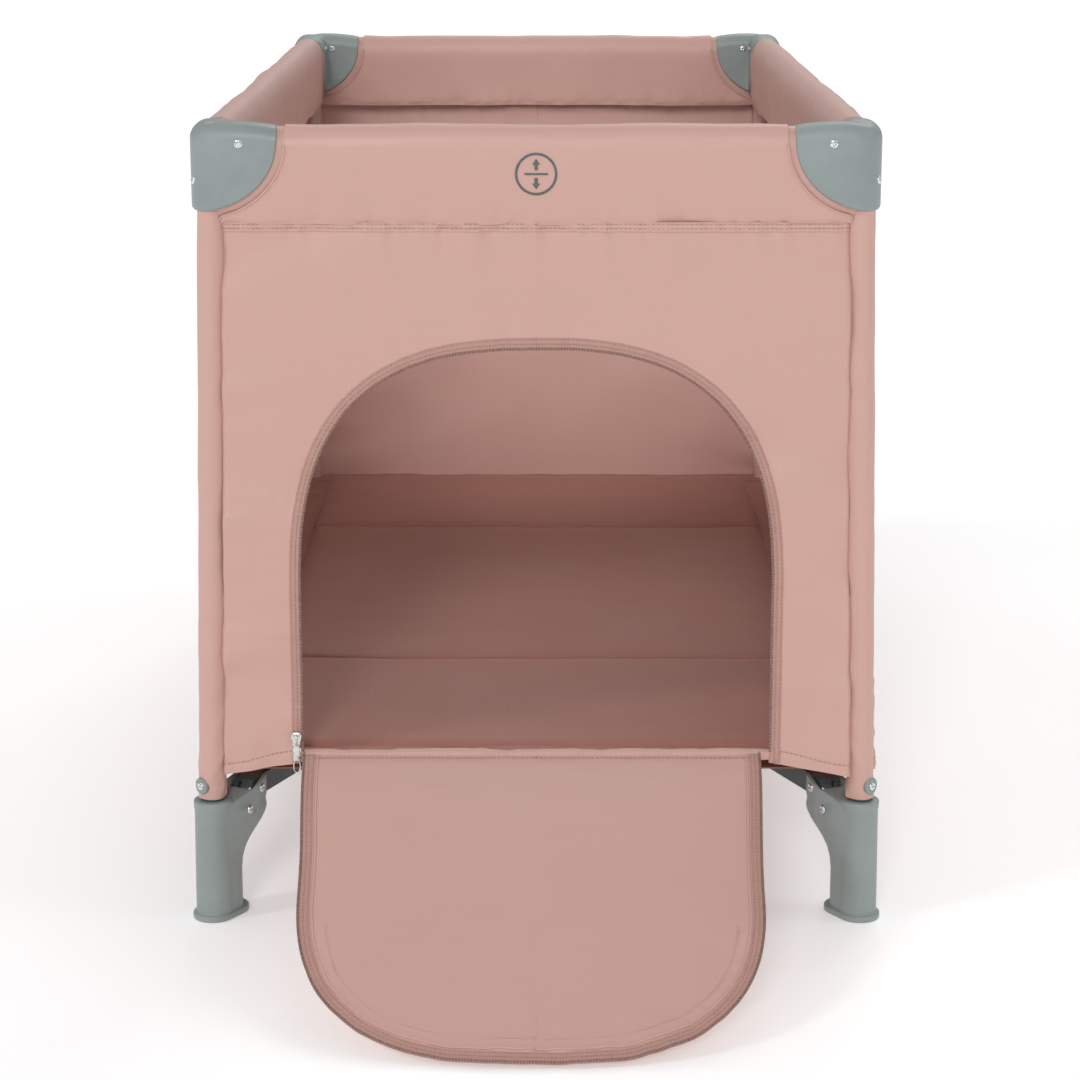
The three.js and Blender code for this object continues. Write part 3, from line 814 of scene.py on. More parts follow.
def window_panel(side, sign, quarter, name):
    """The mesh of half a window, and the tape bound over its edge."""
    along = sign * steps(0, WINDOW_HALF + 2 * MM, 12 * MM)
    z = steps(WINDOW_LOW - 2 * MM, WINDOW_HIGH + 2 * MM, 12 * MM)
    a, up = np.meshgrid(along, z)
    middle_a, middle_z = (a[:-1, :-1] + a[1:, 1:]) / 2, (up[:-1, :-1] + up[1:, 1:]) / 2
    outside = ~in_window(middle_a, middle_z, -6 * MM)
    net = cloth_sheet(f"window_mesh_{name}", on_wall(side, a, up, -1.6 * MM), wall_outward(side), WINDOW,
                      f"leg_{quarter}", thick=0, dropped=outside)
    folds_with_leg(net, side)
    turn = np.linspace(0, math.pi / 2, 14)
    low = np.stack([WINDOW_HALF - WINDOW_ROUND * (1 - np.sin(turn)),
                    WINDOW_LOW + WINDOW_ROUND * (1 - np.cos(turn))], axis=1)
    high = np.stack([WINDOW_HALF - WINDOW_ROUND * (1 - np.cos(turn)),
                     WINDOW_HIGH - WINDOW_ROUND * (1 - np.sin(turn))], axis=1)
    path = np.concatenate([[(0, WINDOW_LOW)], low, high, [(0, WINDOW_HIGH)]])
    path = resampled(path, 260)
    tangent = unit(np.gradient(path, axis=0))
    normal = np.stack([tangent[:, 1], -tangent[:, 0]], axis=1)
    profile = [(-6.5, -0.8), (-6, 0.5), (-4, 1.1), (0, 1.3), (4, 1.1), (6, 0.6), (6.5, -0.6)]
    rows = [on_wall(side, sign * (path[:, 0] + normal[:, 0] * r * MM), path[:, 1] + normal[:, 1] * r * MM,
                    lift * MM) for r, lift in profile]
    tape = wall_cloth(f"window_binding_{name}", np.stack(rows), side, quarter, thick=0.6 * MM)
    folds_with_leg(tape, side)
    for k, r in enumerate((-4.2 * MM, 4.2 * MM)):
        line = on_wall(side, sign * (path[:, 0] + normal[:, 0] * r), path[:, 1] + normal[:, 1] * r, 1.2 * MM)
        wall_seam(f"window_stitch_{k}_{name}", line, side, quarter)


def wall_hems():
    """The puckered double-stitched hem under each rail cover, and the stitching of the bottom hem."""
    for side in range(4):
        for quarter, sign in quarters_of(side):
            name = half_name(side, sign)
            start = 0 if side else DOOR_HALF + 12 * MM
            along = sign * steps(0, wall_half(side) + leg_shift(WALL_TOP) + 1 * MM, 2.2 * MM)
            profile = [(-0.6, -1.0), (0.0, 0.9), (1.2, 1.5), (3.2, 1.0), (4.6, 1.5), (6.6, 1.9), (8.2, 1.4),
                       (9.5, 0.2)]
            rows = []
            for up, lift in profile:
                braid = 0.5 * MM * wander(along + up * 0.4 * MM, 0.0055, 31 + side) * smooth_step(up / 3)
                rows.append(on_wall(side, along, WALL_TOP + up * MM, lift * MM + braid))
            hem = wall_cloth(f"top_hem_{name}", np.stack(rows), side, quarter, thick=0.8 * MM)
            folds_with_leg(hem, side)
            for k, (up, lift) in enumerate(((3.2, 1.1), (7.2, 1.8))):
                line = on_wall(side, along, WALL_TOP + up * MM, lift * MM)
                wall_seam(f"top_stitch_{k}_{name}", line, side, quarter)
            along = sign * steps(start, wall_half(side) + 10 * MM, 3 * MM)
            line = on_wall(side, along, wall_bottom(side, along) + 11 * MM, 0.5 * MM)
            wall_seam(f"bottom_stitch_{name}", line, side, quarter)


# ---------- sleeves over the legs ----------
SLEEVE = 13.4 * MM


def leg_sleeves():
    """The cloth tube round each leg: twisted folds at its foot, softer ones above, and a seam inside."""
    for number, (quarter, (sx, sy)) in enumerate(QUARTERS.items()):
        z = steps(126 * MM, 716 * MM, 3.6 * MM, 2.4 * MM, 90 * MM)
        turn = np.linspace(0, 2 * math.pi, 56, endpoint=False)
        up, angle = np.meshgrid(z, turn, indexing="ij")
        inward = np.cos(angle - math.atan2(-sy, -sx))
        seed = 500 + 20 * number
        twist = up + 0.021 * angle * sx
        low = fade(up - 130 * MM, 0.07)
        folds = wander(twist, 0.019, seed) * (0.35 + 0.65 * np.maximum(inward, 0))
        radius = SLEEVE + 0.6 * MM * folds
        radius = radius + 4.2 * MM * low * wander(twist * 1.3, 0.017, seed + 1) * (0.6 + 0.4 * inward)
        radius = radius + 0.35 * MM * drift(up, angle * 0.02, 0.035, seed + 2)
        radius = radius + 1.6 * MM * np.exp(-(((1 - inward) / 0.02) ** 2))
        radius = np.clip(radius, 12.3 * MM, 15.9 * MM)
        axis_x = sx * (HALF_WIDTH - LEG_INSET + leg_shift(up))
        axis_y = sy * (HALF_LENGTH - LEG_INSET + leg_shift(up))
        ring = np.stack([np.cos(angle), np.sin(angle), np.zeros_like(angle)], axis=-1)
        points = np.stack([axis_x, axis_y, up], axis=-1) + radius[..., None] * ring
        faces = facing(points.reshape(-1, 3), grid_faces(len(z), len(turn), wrap=True), ring.reshape(-1, 3))
        sleeve = build(f"leg_sleeve_{quarter}", points, faces, SATIN, f"leg_{quarter}")
        thickened(sleeve, 0.9 * MM)


# ---------- padded covers over the top rails ----------
CAP_CENTRE = HALF_WIDTH - CAP_TIP            # of the round edge of a cap's face, from the middle of an end
HEM_GAP = 7.5 * MM                           # between a cap's round edge and the curved hem of the cover


def cover_profile():
    """A cover's cross-section from its outer hem over the rail to its inner one: (out, up) and normals."""
    z = np.concatenate([steps(HEM_TOP - 1 * MM, HEM_TOP + 20 * MM, 1.6 * MM),
                        steps(HEM_TOP + 23 * MM, COVER_SPRING, 3 * MM)])
    rise = (z - HEM_TOP) / (COVER_SPRING - HEM_TOP)
    out = COVER_HALF + 0.8 * MM - 5.2 * MM * np.clip(1 - rise, 0, 1) ** 1.7
    out = out - 2.0 * MM * fade(z - HEM_TOP, 0.0035)
    turn = np.linspace(0, math.pi / 2, 16)[1:]
    top = HEIGHT - 2.6 * MM
    outer = np.concatenate([np.stack([out, z], 1),
                            np.stack([(COVER_HALF + 0.8 * MM) * np.cos(turn) ** 0.85,
                                      COVER_SPRING + (top - COVER_SPRING) * np.sin(turn) ** 0.85], 1)])
    inner = outer[:-1][::-1] * np.array([-1, 1])
    line = np.concatenate([outer, inner])
    tangent = unit(np.gradient(line, axis=0))
    return line, np.stack([tangent[:, 1], -tangent[:, 0]], axis=1)


PROFILE, PROFILE_NORMAL = cover_profile()
PROFILE_FAR = np.concatenate([[0], np.cumsum(np.linalg.norm(np.diff(PROFILE, axis=0), axis=1))])


def fan_reach(z, grown, centre):
    """How far along a rail the round edge of a cap's face is at height z, grown outwards by some distance."""
    across, down = CAP_REACH - CAP_TIP + grown, CAP_DROP - CAP_SHOULDER + grown
    drop = np.clip((HEIGHT - CAP_SHOULDER - z) / down, 0, 1)
    return centre - across * np.sqrt(1 - drop ** 2)


def cover_relief(side, along, far, z, end):
    """Soft wrinkles in a cover: puckers at its stitched hems and towards the caps, and slack between."""
    seed = 900 + 50 * side
    to_hem = z - HEM_TOP
    to_end = end - np.abs(along)
    out = 1.4 * MM * drift(along, far, 0.10, seed) + 0.5 * MM * drift(along, far, 0.035, seed + 1)
    out += 1.5 * MM * wander(along, 0.0085, seed + 2) * fade(to_hem, 0.011) * smooth_step(to_hem / 0.004)
    out += 1.6 * MM * wander(along, 0.026, seed + 3) * fade(to_hem, 0.028)
    out *= smooth_step(to_end / 0.04)
    low = smooth_step((HEM_TOP + 22 * MM - z) / (20 * MM))
    out -= 2.4 * MM * low * smooth_step((np.abs(along) - wall_half(side) + 26 * MM) / (24 * MM))
    out += 0.8 * MM * wander(z + far, 0.012, seed + 4) * fade(to_end, 0.018) * smooth_step(to_end / 0.004)
    return out


def cover_points(side, along, row, end, lift=0.0):
    """Points on a cover, for profile rows and places along its rail."""
    out, z = PROFILE[row, 0], PROFILE[row, 1]
    normal = PROFILE_NORMAL[row]
    bulge = cover_relief(side, along, PROFILE_FAR[row], z, end) + lift
    away = out + normal[..., 0] * bulge
    up = z + normal[..., 1] * bulge
    if side < 2:
        sign = 1 if side else -1
        return np.stack([along, sign * (RAIL_Y + away), up], axis=-1)
    sign = 1 if side == 3 else -1
    return np.stack([sign * (RAIL_X + away), along, up], axis=-1)


def cover_outward(side, columns):
    """Outward directions for a grid on a cover."""
    normal = np.repeat(PROFILE_NORMAL[:, None], columns, axis=1)
    zero = np.zeros(normal.shape[:2])
    sign = (-1, 1, -1, 1)[side]
    if side < 2:
        return np.stack([zero, sign * normal[..., 0], normal[..., 1]], axis=-1)
    return np.stack([sign * normal[..., 0], zero, normal[..., 1]], axis=-1)


def cover_body(side, quarter):
    return f"{'end' if side < 2 else 'side'}_rail_{quarter}"


def squash_cover(piece):
    """Gives a cover its own copy of its mesh."""
    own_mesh(piece)


def rail_covers():
    """Half a cover on each half rail, ending at a curved hem, and the cloth from there in under the cap."""
    rows = np.arange(len(PROFILE))
    z = PROFILE[:, 1]
    for side in range(4):
        centre = CAP_CENTRE if side < 2 else CAP_CENTRE - HALF_WIDTH + HALF_LENGTH
        limit = wall_half(side)
        end = np.minimum(fan_reach(z, HEM_GAP, centre), limit)
        tucked = np.minimum(fan_reach(z, 0, centre) + 9 * MM, limit + 5 * MM)
        share = steps(0, 1, 4 * MM / limit, 2.2 * MM / limit, 0.12)
        for quarter, sign in quarters_of(side):
            name = half_name(side, sign)
            along = sign * end[:, None] * share[None]
            row = np.repeat(rows[:, None], len(share), axis=1)
            points = cover_points(side, along, row, end[:, None])
            cover = cloth_sheet(f"rail_padding_{name}", points, cover_outward(side, len(share)), SATIN,
                                cover_body(side, quarter), thick=2.2 * MM)
            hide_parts(f"{'end' if side < 2 else 'side'}_rail_cover_{quarter}")
            squash_cover(cover)
            corner_cloth(side, sign, quarter, name, end, tucked, rows)


def corner_cloth(side, sign, quarter, name, end, tucked, rows):
    """The cloth that runs from a cover's curved hem in under the corner cap, and the piping on that hem."""
    share = np.linspace(0, 1, 9)
    along = sign * (end[:, None] + (np.maximum(tucked, end + 1 * MM) - end)[:, None] * share[None])
    row = np.repeat(rows[:, None], len(share), axis=1)
    points = cover_points(side, along, row, end[:, None], -1.8 * MM)
    gusset = cloth_sheet(f"corner_cloth_{name}", points, cover_outward(side, len(share)), SATIN,
                         f"leg_{quarter}", thick=1.2 * MM)
    folds_with_leg(gusset, side)
    outside = PROFILE[:, 0] > 0
    for face, chosen in (("outer", outside), ("inner", ~outside)):
        kept = chosen & (PROFILE[:, 1] < HEIGHT - CAP_SHOULDER) & (PROFILE[:, 1] > HEM_TOP + 1 * MM)
        line = cover_points(side, sign * end[kept], rows[kept], end[kept], 0.3 * MM)
        cord = tube(f"cover_piping_{face}_{name}", resampled(line, 60), 1.2 * MM, SATIN,
                    cover_body(side, quarter))
        squash_cover(cord)


# ---------- the press sign on the front cover ----------
SIGN_Z, SIGN_RADIUS, SIGN_LINE = 739 * MM, 19.8 * MM, 2.3 * MM


def on_cover_front(x, z, lift):
    """Points on the outer face of the front cover."""
    row = np.interp(z, PROFILE[: len(PROFILE) // 2, 1], np.arange(len(PROFILE) // 2))
    low = np.floor(row).astype(int)
    part = (row - low)[..., None]
    end = wall_half(0)
    a = cover_points(0, x, low, end, lift)
    b = cover_points(0, x, low + 1, end, lift)
    return a * (1 - part) + b * part


INK_LIFT, INK_THICK = 0.45 * MM, 0.25 * MM


def printed(name, rows, sign, quarter):
    """A printed shape on one half of the front cover."""
    piece = cloth_sheet(f"{name}_{half_name(0, sign)}", np.stack(rows), wall_outward(0), INK,
                        cover_body(0, quarter), thick=INK_THICK)
    squash_cover(piece)


def press_sign():
    """A printed ring with an arrow up and an arrow down, in two halves, one on each half rail."""
    turn = np.linspace(-math.pi / 2, math.pi / 2, 49)
    arrow = [(3.6, 1.6), (8.8, 1.6), (8.801, 3.7), (14.2, 0.02)]     # (height, half width) from its tail, mm
    for quarter, sign in quarters_of(0):
        rows = [on_cover_front(sign * radius * np.cos(turn), SIGN_Z + radius * np.sin(turn), INK_LIFT)
                for radius in np.linspace(SIGN_RADIUS - SIGN_LINE, SIGN_RADIUS, 4)]
        printed("press_ring", rows, sign, quarter)
        for label, way in (("up", 1), ("down", -1)):
            rows = [on_cover_front(sign * np.linspace(0, width, 5) * MM, np.full(5, SIGN_Z + way * height * MM),
                                   INK_LIFT) for height, width in arrow]
            printed(f"press_arrow_{label}", rows, sign, quarter)
        rows = [on_cover_front(sign * np.linspace(0, 11, 12) * MM, np.full(12, SIGN_Z + up * MM), INK_LIFT)
                for up in (-0.9, 0, 0.9)]
        printed("press_bar", rows, sign, quarter)


# ---------- zip round the door, and the sill under it ----------
def along_arch(offset, start=0.0):
    """Points and normals of a line that runs beside the door's edge, offset outwards."""
    kept = ARCH[:, 1] >= start
    return (ARCH + ARCH_NORMAL * offset)[kept], ARCH_NORMAL[kept]


TOOTH = (1.5 * MM, 2.6 * MM, 1.5 * MM)
TOOTH_PITCH = 2.7 * MM


def door_zip():
    for quarter, sign in quarters_of(0):
        name = half_name(0, sign)
        profile = [(-0.6, -1.6), (-0.5, 0.4), (0.6, 1.0), (3.2, 1.0), (3.8, 0.7), (7.6, 0.9), (9.6, 0.9),
                   (10.6, 0.4), (10.9, -0.6)]
        rows = []
        for offset, lift in profile:
            line, _ = along_arch(offset * MM)
            rows.append(on_wall(0, sign * line[:, 0], line[:, 1], lift * MM))
        tape = wall_cloth(f"door_zip_tape_{name}", np.stack(rows), 0, quarter, material=TAPE, thick=0.7 * MM)
        folds_with_leg(tape, 0)
        for k, offset in enumerate((5.0 * MM, 9.2 * MM)):
            line, _ = along_arch(offset)
            path = on_wall(0, sign * line[:, 0], line[:, 1], 0.9 * MM)
            wall_seam(f"door_stitch_{k}_{name}", path, 0, quarter)
        line, _ = along_arch(0.4 * MM, SILL_TOP)
        path = on_wall(0, sign * line[:, 0], line[:, 1], 1.0 * MM)
        path = resampled(path, int(path_length(line) / TOOTH_PITCH))
        teeth = blocks(f"door_zip_teeth_{name}", path, np.gradient(path, axis=0), wall_outward(0), TOOTH,
                       TEETH, f"leg_{quarter}")
        folds_with_leg(teeth, 0)


def zip_metalwork():
    """The slider on the teeth, with its bridge, and the pull that hangs from it."""
    low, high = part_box("zip_slider")
    centre = (low + high) / 2
    outline = [(-4, 7), (-2.5, 7.4), (2.5, 7.4), (4, 7), (5, 5.5), (5, 1.5), (3.9, -2), (3.6, -6), (2.6, -7),
               (-2.6, -7), (-3.6, -6), (-3.9, -2), (-5, 1.5), (-5, 5.5)]
    depths = [(0, 0.88), (0.5, 1), (2.2, 1), (2.7, 0.9), (2.8, 0.45), (5.2, 0.45), (5.3, 0.9), (5.8, 1),
              (7.5, 1), (8, 0.88)]
    rings = [[(centre.x + u * k * MM, low.y + d * MM, centre.z + v * k * MM) for u, v in outline]
             for d, k in depths]
    slider = place_mesh("zip_slider_body", taken(lofted("slider", rings)), ZIP_METAL, "zip_slider")
    slider.data.set_sharp_from_angle(angle=math.radians(35))
    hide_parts("zip_slider")
    arch = [(centre.x, low.y - 2.6 * MM * math.sin(a) + 0.3 * MM, centre.z + 5 * MM * math.cos(a))
            for a in np.linspace(0, math.pi, 15)]
    tube("zip_slider_bridge", np.array(arch), 1.1 * MM, ZIP_METAL, "zip_slider")
    low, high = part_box("zip_pull")
    x, y = (low.x + high.x) / 2, (low.y + high.y) / 2
    turn = np.linspace(0, 2 * math.pi, 33)
    for name, half, z, tall in (("link", 2.2 * MM, high.z - 5 * MM, 4.6 * MM),
                                ("ring", 3.2 * MM, low.z + 7.2 * MM, 6.6 * MM)):
        loop = [(x + half * math.sin(a), y, z + tall * math.cos(a)) for a in turn]
        tube(f"zip_pull_{name}", np.array(loop), 0.75 * MM, ZIP_METAL, "zip_pull")
    outline = [(-1.6, 14), (1.6, 14), (2.4, 13), (2.9, 2), (3.5, -1), (3, -3.2), (-3, -3.2), (-3.5, -1),
               (-2.9, 2), (-2.4, 13)]
    depths = [(-0.9, 0.86), (-0.6, 1), (0.6, 1), (0.9, 0.86)]
    rings = [[(x + u * k * MM, y + d * MM, low.z + (16 + v * k) * MM) for u, v in outline] for d, k in depths]
    plate = place_mesh("zip_pull_plate", taken(lofted("pull", rings)), ZIP_METAL, "zip_pull")
    plate.data.set_sharp_from_angle(angle=math.radians(35))
    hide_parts("zip_pull")


def door_sill():
    """The soft rolled hem across the foot of the doorway."""
    for quarter, sign in quarters_of(0):
        x = sign * steps(0, DOOR_HALF + 1 * MM, 3 * MM)
        turn = np.linspace(-0.2 * math.pi, 1.2 * math.pi, 15)
        rows = []
        for angle in turn:
            swell = 1 + 0.18 * wander(x, 0.03, 41) + 0.08 * wander(x, 0.009, 42)
            y = -(WALL_Y + leg_shift(SILL_TOP)) + 1.5 * MM - 5.2 * MM * math.cos(angle) * swell
            z = SILL_TOP - 6.2 * MM + 6.2 * MM * math.sin(angle) * swell
            rows.append(np.stack([x, y, z], axis=-1))
        grid = np.stack(rows)
        outward = np.stack([np.zeros_like(grid[..., 0]), np.repeat(-np.cos(turn)[:, None], len(x), 1),
                            np.repeat(np.sin(turn)[:, None], len(x), 1)], axis=-1)
        sill = cloth_sheet(f"door_sill_{half_name(0, sign)}", grid, outward, SATIN, f"leg_{quarter}",
                           thick=1.0 * MM)
        folds_with_leg(sill, 0)


# ---------- the door flap, lying open ----------
FLAP_DROP = math.asin((FLAP_Z - FLAP_TIP) / FLAP_LENGTH)
FLAP_Y = WALL_Y - 1.5 * MM + leg_shift(FLAP_Z)
FLAP_EDGE, FLAP_EDGE_NORMAL = arch_curve(FLAP_HALF, FLAP_START, FLAP_SPRING, FLAP_LENGTH, FLAP_POWER, 210)
GATHER = (11 * MM, 25 * MM)                  # the gathered band between tape and piping, at the round end


def flap_relief(x, v, away, place, round_share):
    """Puckers along the flap's edge, a gathered band at its round end, and soft slack in the panel."""
    out = 1.2 * MM * drift(x, v, 0.13, 61) + 0.4 * MM * drift(x, v, 0.05, 62)
    out += 0.6 * MM * wander(place, 0.012, 63) * fade(away - 12 * MM, 0.016)
    out += 1.3 * MM * wander(place, 0.035, 64) * fade(away - 12 * MM, 0.035)
    inside = smooth_step((away - GATHER[0]) / (2 * MM)) * smooth_step((GATHER[1] - away) / (2 * MM))
    gathers = 1.0 * MM + 1.3 * MM * wander(place, 0.013, 65) + 0.7 * MM * wander(place, 0.006, 66)
    out += inside * round_share * gathers
    return out


def on_flap(x, v, lift):
    """A point on the flap's upper face: v runs from the hinge down the slope to the tip."""
    bow = FLAP_BOW * np.sin(math.pi * np.clip(v / FLAP_LENGTH, 0, 1)) + lift + 2 * MM
    x = x * (0.985 - FLAP_DRAWN * smooth_step(v / 0.2)) + FLAP_ASIDE * np.minimum(np.abs(x) / FLAP_HALF, 1)
    y = -FLAP_Y - v * math.cos(FLAP_DROP) - bow * math.sin(FLAP_DROP)
    z = FLAP_Z - v * math.sin(FLAP_DROP) + bow * math.cos(FLAP_DROP)
    return np.stack([x, y, z], axis=-1)


def flap_line(sign, offset, lift):
    """A line inside the flap's edge by some offset, on its cloth, with its normals."""
    line = FLAP_EDGE - FLAP_EDGE_NORMAL * offset
    x, v = sign * np.maximum(line[:, 0], 0), line[:, 1]
    place = np.linspace(0, path_length(FLAP_EDGE), len(line))
    place = place if sign < 0 else 2 * path_length(FLAP_EDGE) - place
    round_share = smooth_step((FLAP_EDGE[:, 1] - 0.215) / 0.05)
    rise = flap_relief(x, v, np.full(len(line), offset), place, round_share)
    return on_flap(x, v, rise + lift)


FLAP_NORMAL = np.array([0, -math.sin(FLAP_DROP), math.cos(FLAP_DROP)])


def squash_flap(piece):
    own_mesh(piece)


def door_flap():
    for sign, half in ((-1, "left"), (1, "right")):
        body = f"door_flap_{half}"
        offsets = np.linspace(9.5, 30, 19) * MM
        bands = [flap_line(sign, offset, 0) for offset in offsets]
        inner = FLAP_EDGE - FLAP_EDGE_NORMAL * offsets[-1]
        spine_v = FLAP_START + (inner[-1, 1] - FLAP_START) * np.linspace(0, 1, len(inner))
        place = np.linspace(0, path_length(FLAP_EDGE), len(inner))
        place = place if sign < 0 else 2 * path_length(FLAP_EDGE) - place
        for share in np.linspace(0, 1, 50)[1:]:
            x = sign * np.maximum(inner[:, 0] * (1 - share), 0)
            v = inner[:, 1] * (1 - share) + spine_v * share
            away = offsets[-1] + np.abs(inner[:, 0]) * share
            bands.append(on_flap(x, v, flap_relief(x, v, away, place, np.zeros(len(x)))))
        grid = np.stack(bands)
        panel = cloth_sheet(f"flap_panel_{half}", grid, FLAP_NORMAL, SATIN, body, thick=2.5 * MM)
        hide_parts(body)
        squash_flap(panel)
        flap_trim(sign, half, body)


def flap_trim(sign, half, body):
    """Zip tape and teeth round the flap's edge, piping inside it, and its stitching."""
    profile = [(-0.4, -2.0), (0.0, 0.2), (1.0, 0.7), (3.0, 0.6), (5.5, 0.8), (8.5, 0.9), (10.2, 1.0),
               (10.8, -0.4)]
    rows = [flap_line(sign, offset * MM, lift * MM) for offset, lift in profile]
    tape = cloth_sheet(f"flap_zip_tape_{half}", np.stack(rows), FLAP_NORMAL, TAPE, body, thick=1 * MM)
    squash_flap(tape)
    path = resampled(flap_line(sign, 0.2 * MM, 0.4 * MM), int(path_length(FLAP_EDGE) / TOOTH_PITCH))
    teeth = blocks(f"flap_zip_teeth_{half}", path, np.gradient(path, axis=0),
                   FLAP_NORMAL, TOOTH, TEETH, body)
    squash_flap(teeth)
    for k, offset in enumerate((5.2, 9.0)):
        seam = stitches(f"flap_stitch_{k}_{half}", flap_line(sign, offset * MM, 0.9 * MM), FLAP_NORMAL, body)
        squash_flap(seam)
    straight = flap_line(sign, 13.5 * MM, 0.2 * MM)
    cord = tube(f"flap_piping_{half}", straight, 1.25 * MM, SATIN, body)
    squash_flap(cord)
    turned = FLAP_EDGE[:, 1] > 0.24
    cord = tube(f"flap_band_edge_{half}", flap_line(sign, 26 * MM, -0.2 * MM)[turned], 0.8 * MM, SATIN, body)
    squash_flap(cord)
    x = sign * steps(0, FLAP_HALF - 12 * MM, 3 * MM)
    line = on_flap(x, np.full_like(x, 9 * MM), 1.0 * MM)
    seam = stitches(f"flap_hinge_stitch_{half}", line, FLAP_NORMAL, body)
    squash_flap(seam)


# ---------- padded boards, floor cloth and strap ----------
def rounded_board(low, high, round_by=3.5 * MM, pitch=5 * MM):
    """A board as a closed surface on a fine grid, with its edges rounded."""
    made = bmesh.new()
    bmesh.ops.create_cube(made, size=1)
    size, centre = high - low, (high + low) / 2
    for vertex in made.verts:
        vertex.co = Vector((vertex.co[k] * size[k] + centre[k] for k in range(3)))
    bmesh.ops.bevel(made, geom=made.edges[:], offset=round_by, segments=4, profile=0.5, affect="EDGES")
    mesh = bpy.data.meshes.new("board")
    made.to_mesh(mesh)
    made.free()
    piece = linked("board", mesh)
    remeshed(piece, pitch, 0)
    return baked(piece)


def puffed(mesh, limit):
    """Cloth simulation of a stuffed cover: air pressure swells it, and no point moves further than limit."""
    piece = linked("puffed", mesh)
    rest = np.array([v.co for v in mesh.vertices])
    cloth = piece.modifiers.new("cloth", "CLOTH")
    cloth.settings.use_pressure = True
    cloth.settings.uniform_pressure_force = 4
    cloth.settings.effector_weights.gravity = 0
    cloth.point_cache.frame_start = 1
    cloth.point_cache.frame_end = 20
    scene = bpy.context.scene
    for number in range(1, 21):
        scene.frame_set(number)
        bpy.context.view_layer.update()
    moved = piece.evaluated_get(bpy.context.evaluated_depsgraph_get()).to_mesh()
    now = np.array([v.co for v in moved.vertices])
    scene.frame_set(1)
    bpy.data.objects.remove(piece)
    change = now - rest
    length = np.linalg.norm(change, axis=1, keepdims=True)
    change *= np.minimum(1, limit / np.maximum(length, 1e-9))
    mesh.vertices.foreach_set("co", (rest + change).ravel())
    return mesh


PAD_BOTTOM, PAD_X, PAD_Y, EDGE_Z = 158 * MM, 294 * MM, 598 * MM, 170 * MM
UP = np.array([0, 0, 1.0])
SHEET_SHORT_X, SHEET_SHORT_Y = 22 * MM, 26 * MM      # how far the floor cloth ends inside its CAD shape


def mattress_boards():
    """Three padded boards in one cover, which fold up between their seams."""
    for name in ("mattress_front", "mattress_middle", "mattress_back"):
        low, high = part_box(name)
        under = PAD_BOTTOM - low.z
        start = low + Vector((-4 * MM, -2.5 * MM, under))
        end = high - Vector((-4 * MM, -2.5 * MM, 1.0 * MM))
        mesh = rounded_board(start, end)
        mesh = puffed(mesh, 3 * MM)
        co = np.array([v.co for v in mesh.vertices])
        lift = 1.1 * MM * drift(co[:, 0], co[:, 1], 0.12, 81) + 0.4 * MM * drift(co[:, 0], co[:, 1], 0.04, 82)
        co[:, 2] += np.where(co[:, 2] > (low.z + high.z) / 2, lift, 0)
        rim = np.minimum(PAD_X - np.abs(co[:, 0]), PAD_Y - np.abs(co[:, 1]))
        lowest = PAD_BOTTOM + 11 * MM * smooth_step((45 * MM - rim) / (45 * MM))
        co[:, 2] = np.maximum(co[:, 2], lowest)
        mesh.vertices.foreach_set("co", co.ravel())
        piece = place_mesh(f"{name}_pad", mesh, MATTRESS, name)
        smooth = piece.modifiers.new("smooth", "SUBSURF")
        smooth.levels = smooth.render_levels = 1
        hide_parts(name)


def floor_cloth():
    """The cloth under the mattress, one part on each base bar, with room for the hub."""
    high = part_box("floor_cloth")[1]
    for number, (quarter, (sx, sy)) in enumerate(QUARTERS.items()):
        x = steps(0, high.x - SHEET_SHORT_X, 8 * MM)
        y = steps(0, high.y - SHEET_SHORT_Y, 8 * MM)
        across, along = np.meshgrid(x, y, indexing="ij")
        z = high.z - 0.6 * MM + 0.5 * MM * drift(sx * across, sy * along, 0.08, 91)
        grid = np.stack([sx * across, sy * along, z], axis=-1)
        middle = (grid[:-1, :-1] + grid[1:, 1:]) / 2
        hole = (np.abs(middle[..., 0]) < 62 * MM) & (np.abs(middle[..., 1]) < 24 * MM)
        cloth = cloth_sheet(f"floor_sheet_{quarter}", grid, UP, LINING, f"base_bar_{quarter}", thick=1.6 * MM,
                            dropped=hole)
        if number == 0:
            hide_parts("floor_cloth")
        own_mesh(cloth)


def floor_edges():
    """The lining between the mattress and each wall, on the legs."""
    for side in range(4):
        wall = WALL_Y if side < 2 else WALL_X
        pad = PAD_Y if side < 2 else PAD_X
        for quarter, sign in quarters_of(side):
            along = sign * steps(0, wall_half(side) + leg_shift(WALL_LOW.z), 8 * MM)
            out = np.linspace(pad - 14 * MM, wall + leg_shift(WALL_LOW.z) - 2 * MM, 6)
            away, place = np.meshgrid(out, along, indexing="ij")
            z = EDGE_Z - 0.8 * MM * (side > 1) + 0.8 * MM * drift(place, away, 0.03, 95 + side)
            if side < 2:
                grid = np.stack([place, (1 if side else -1) * away, z], axis=-1)
            else:
                grid = np.stack([(1 if side == 3 else -1) * away, place, z], axis=-1)
            edge = cloth_sheet(f"floor_edge_{half_name(side, sign)}", grid, UP, MATTRESS,
                               f"leg_{quarter}", thick=1 * MM)
            folds_with_leg(edge, side)


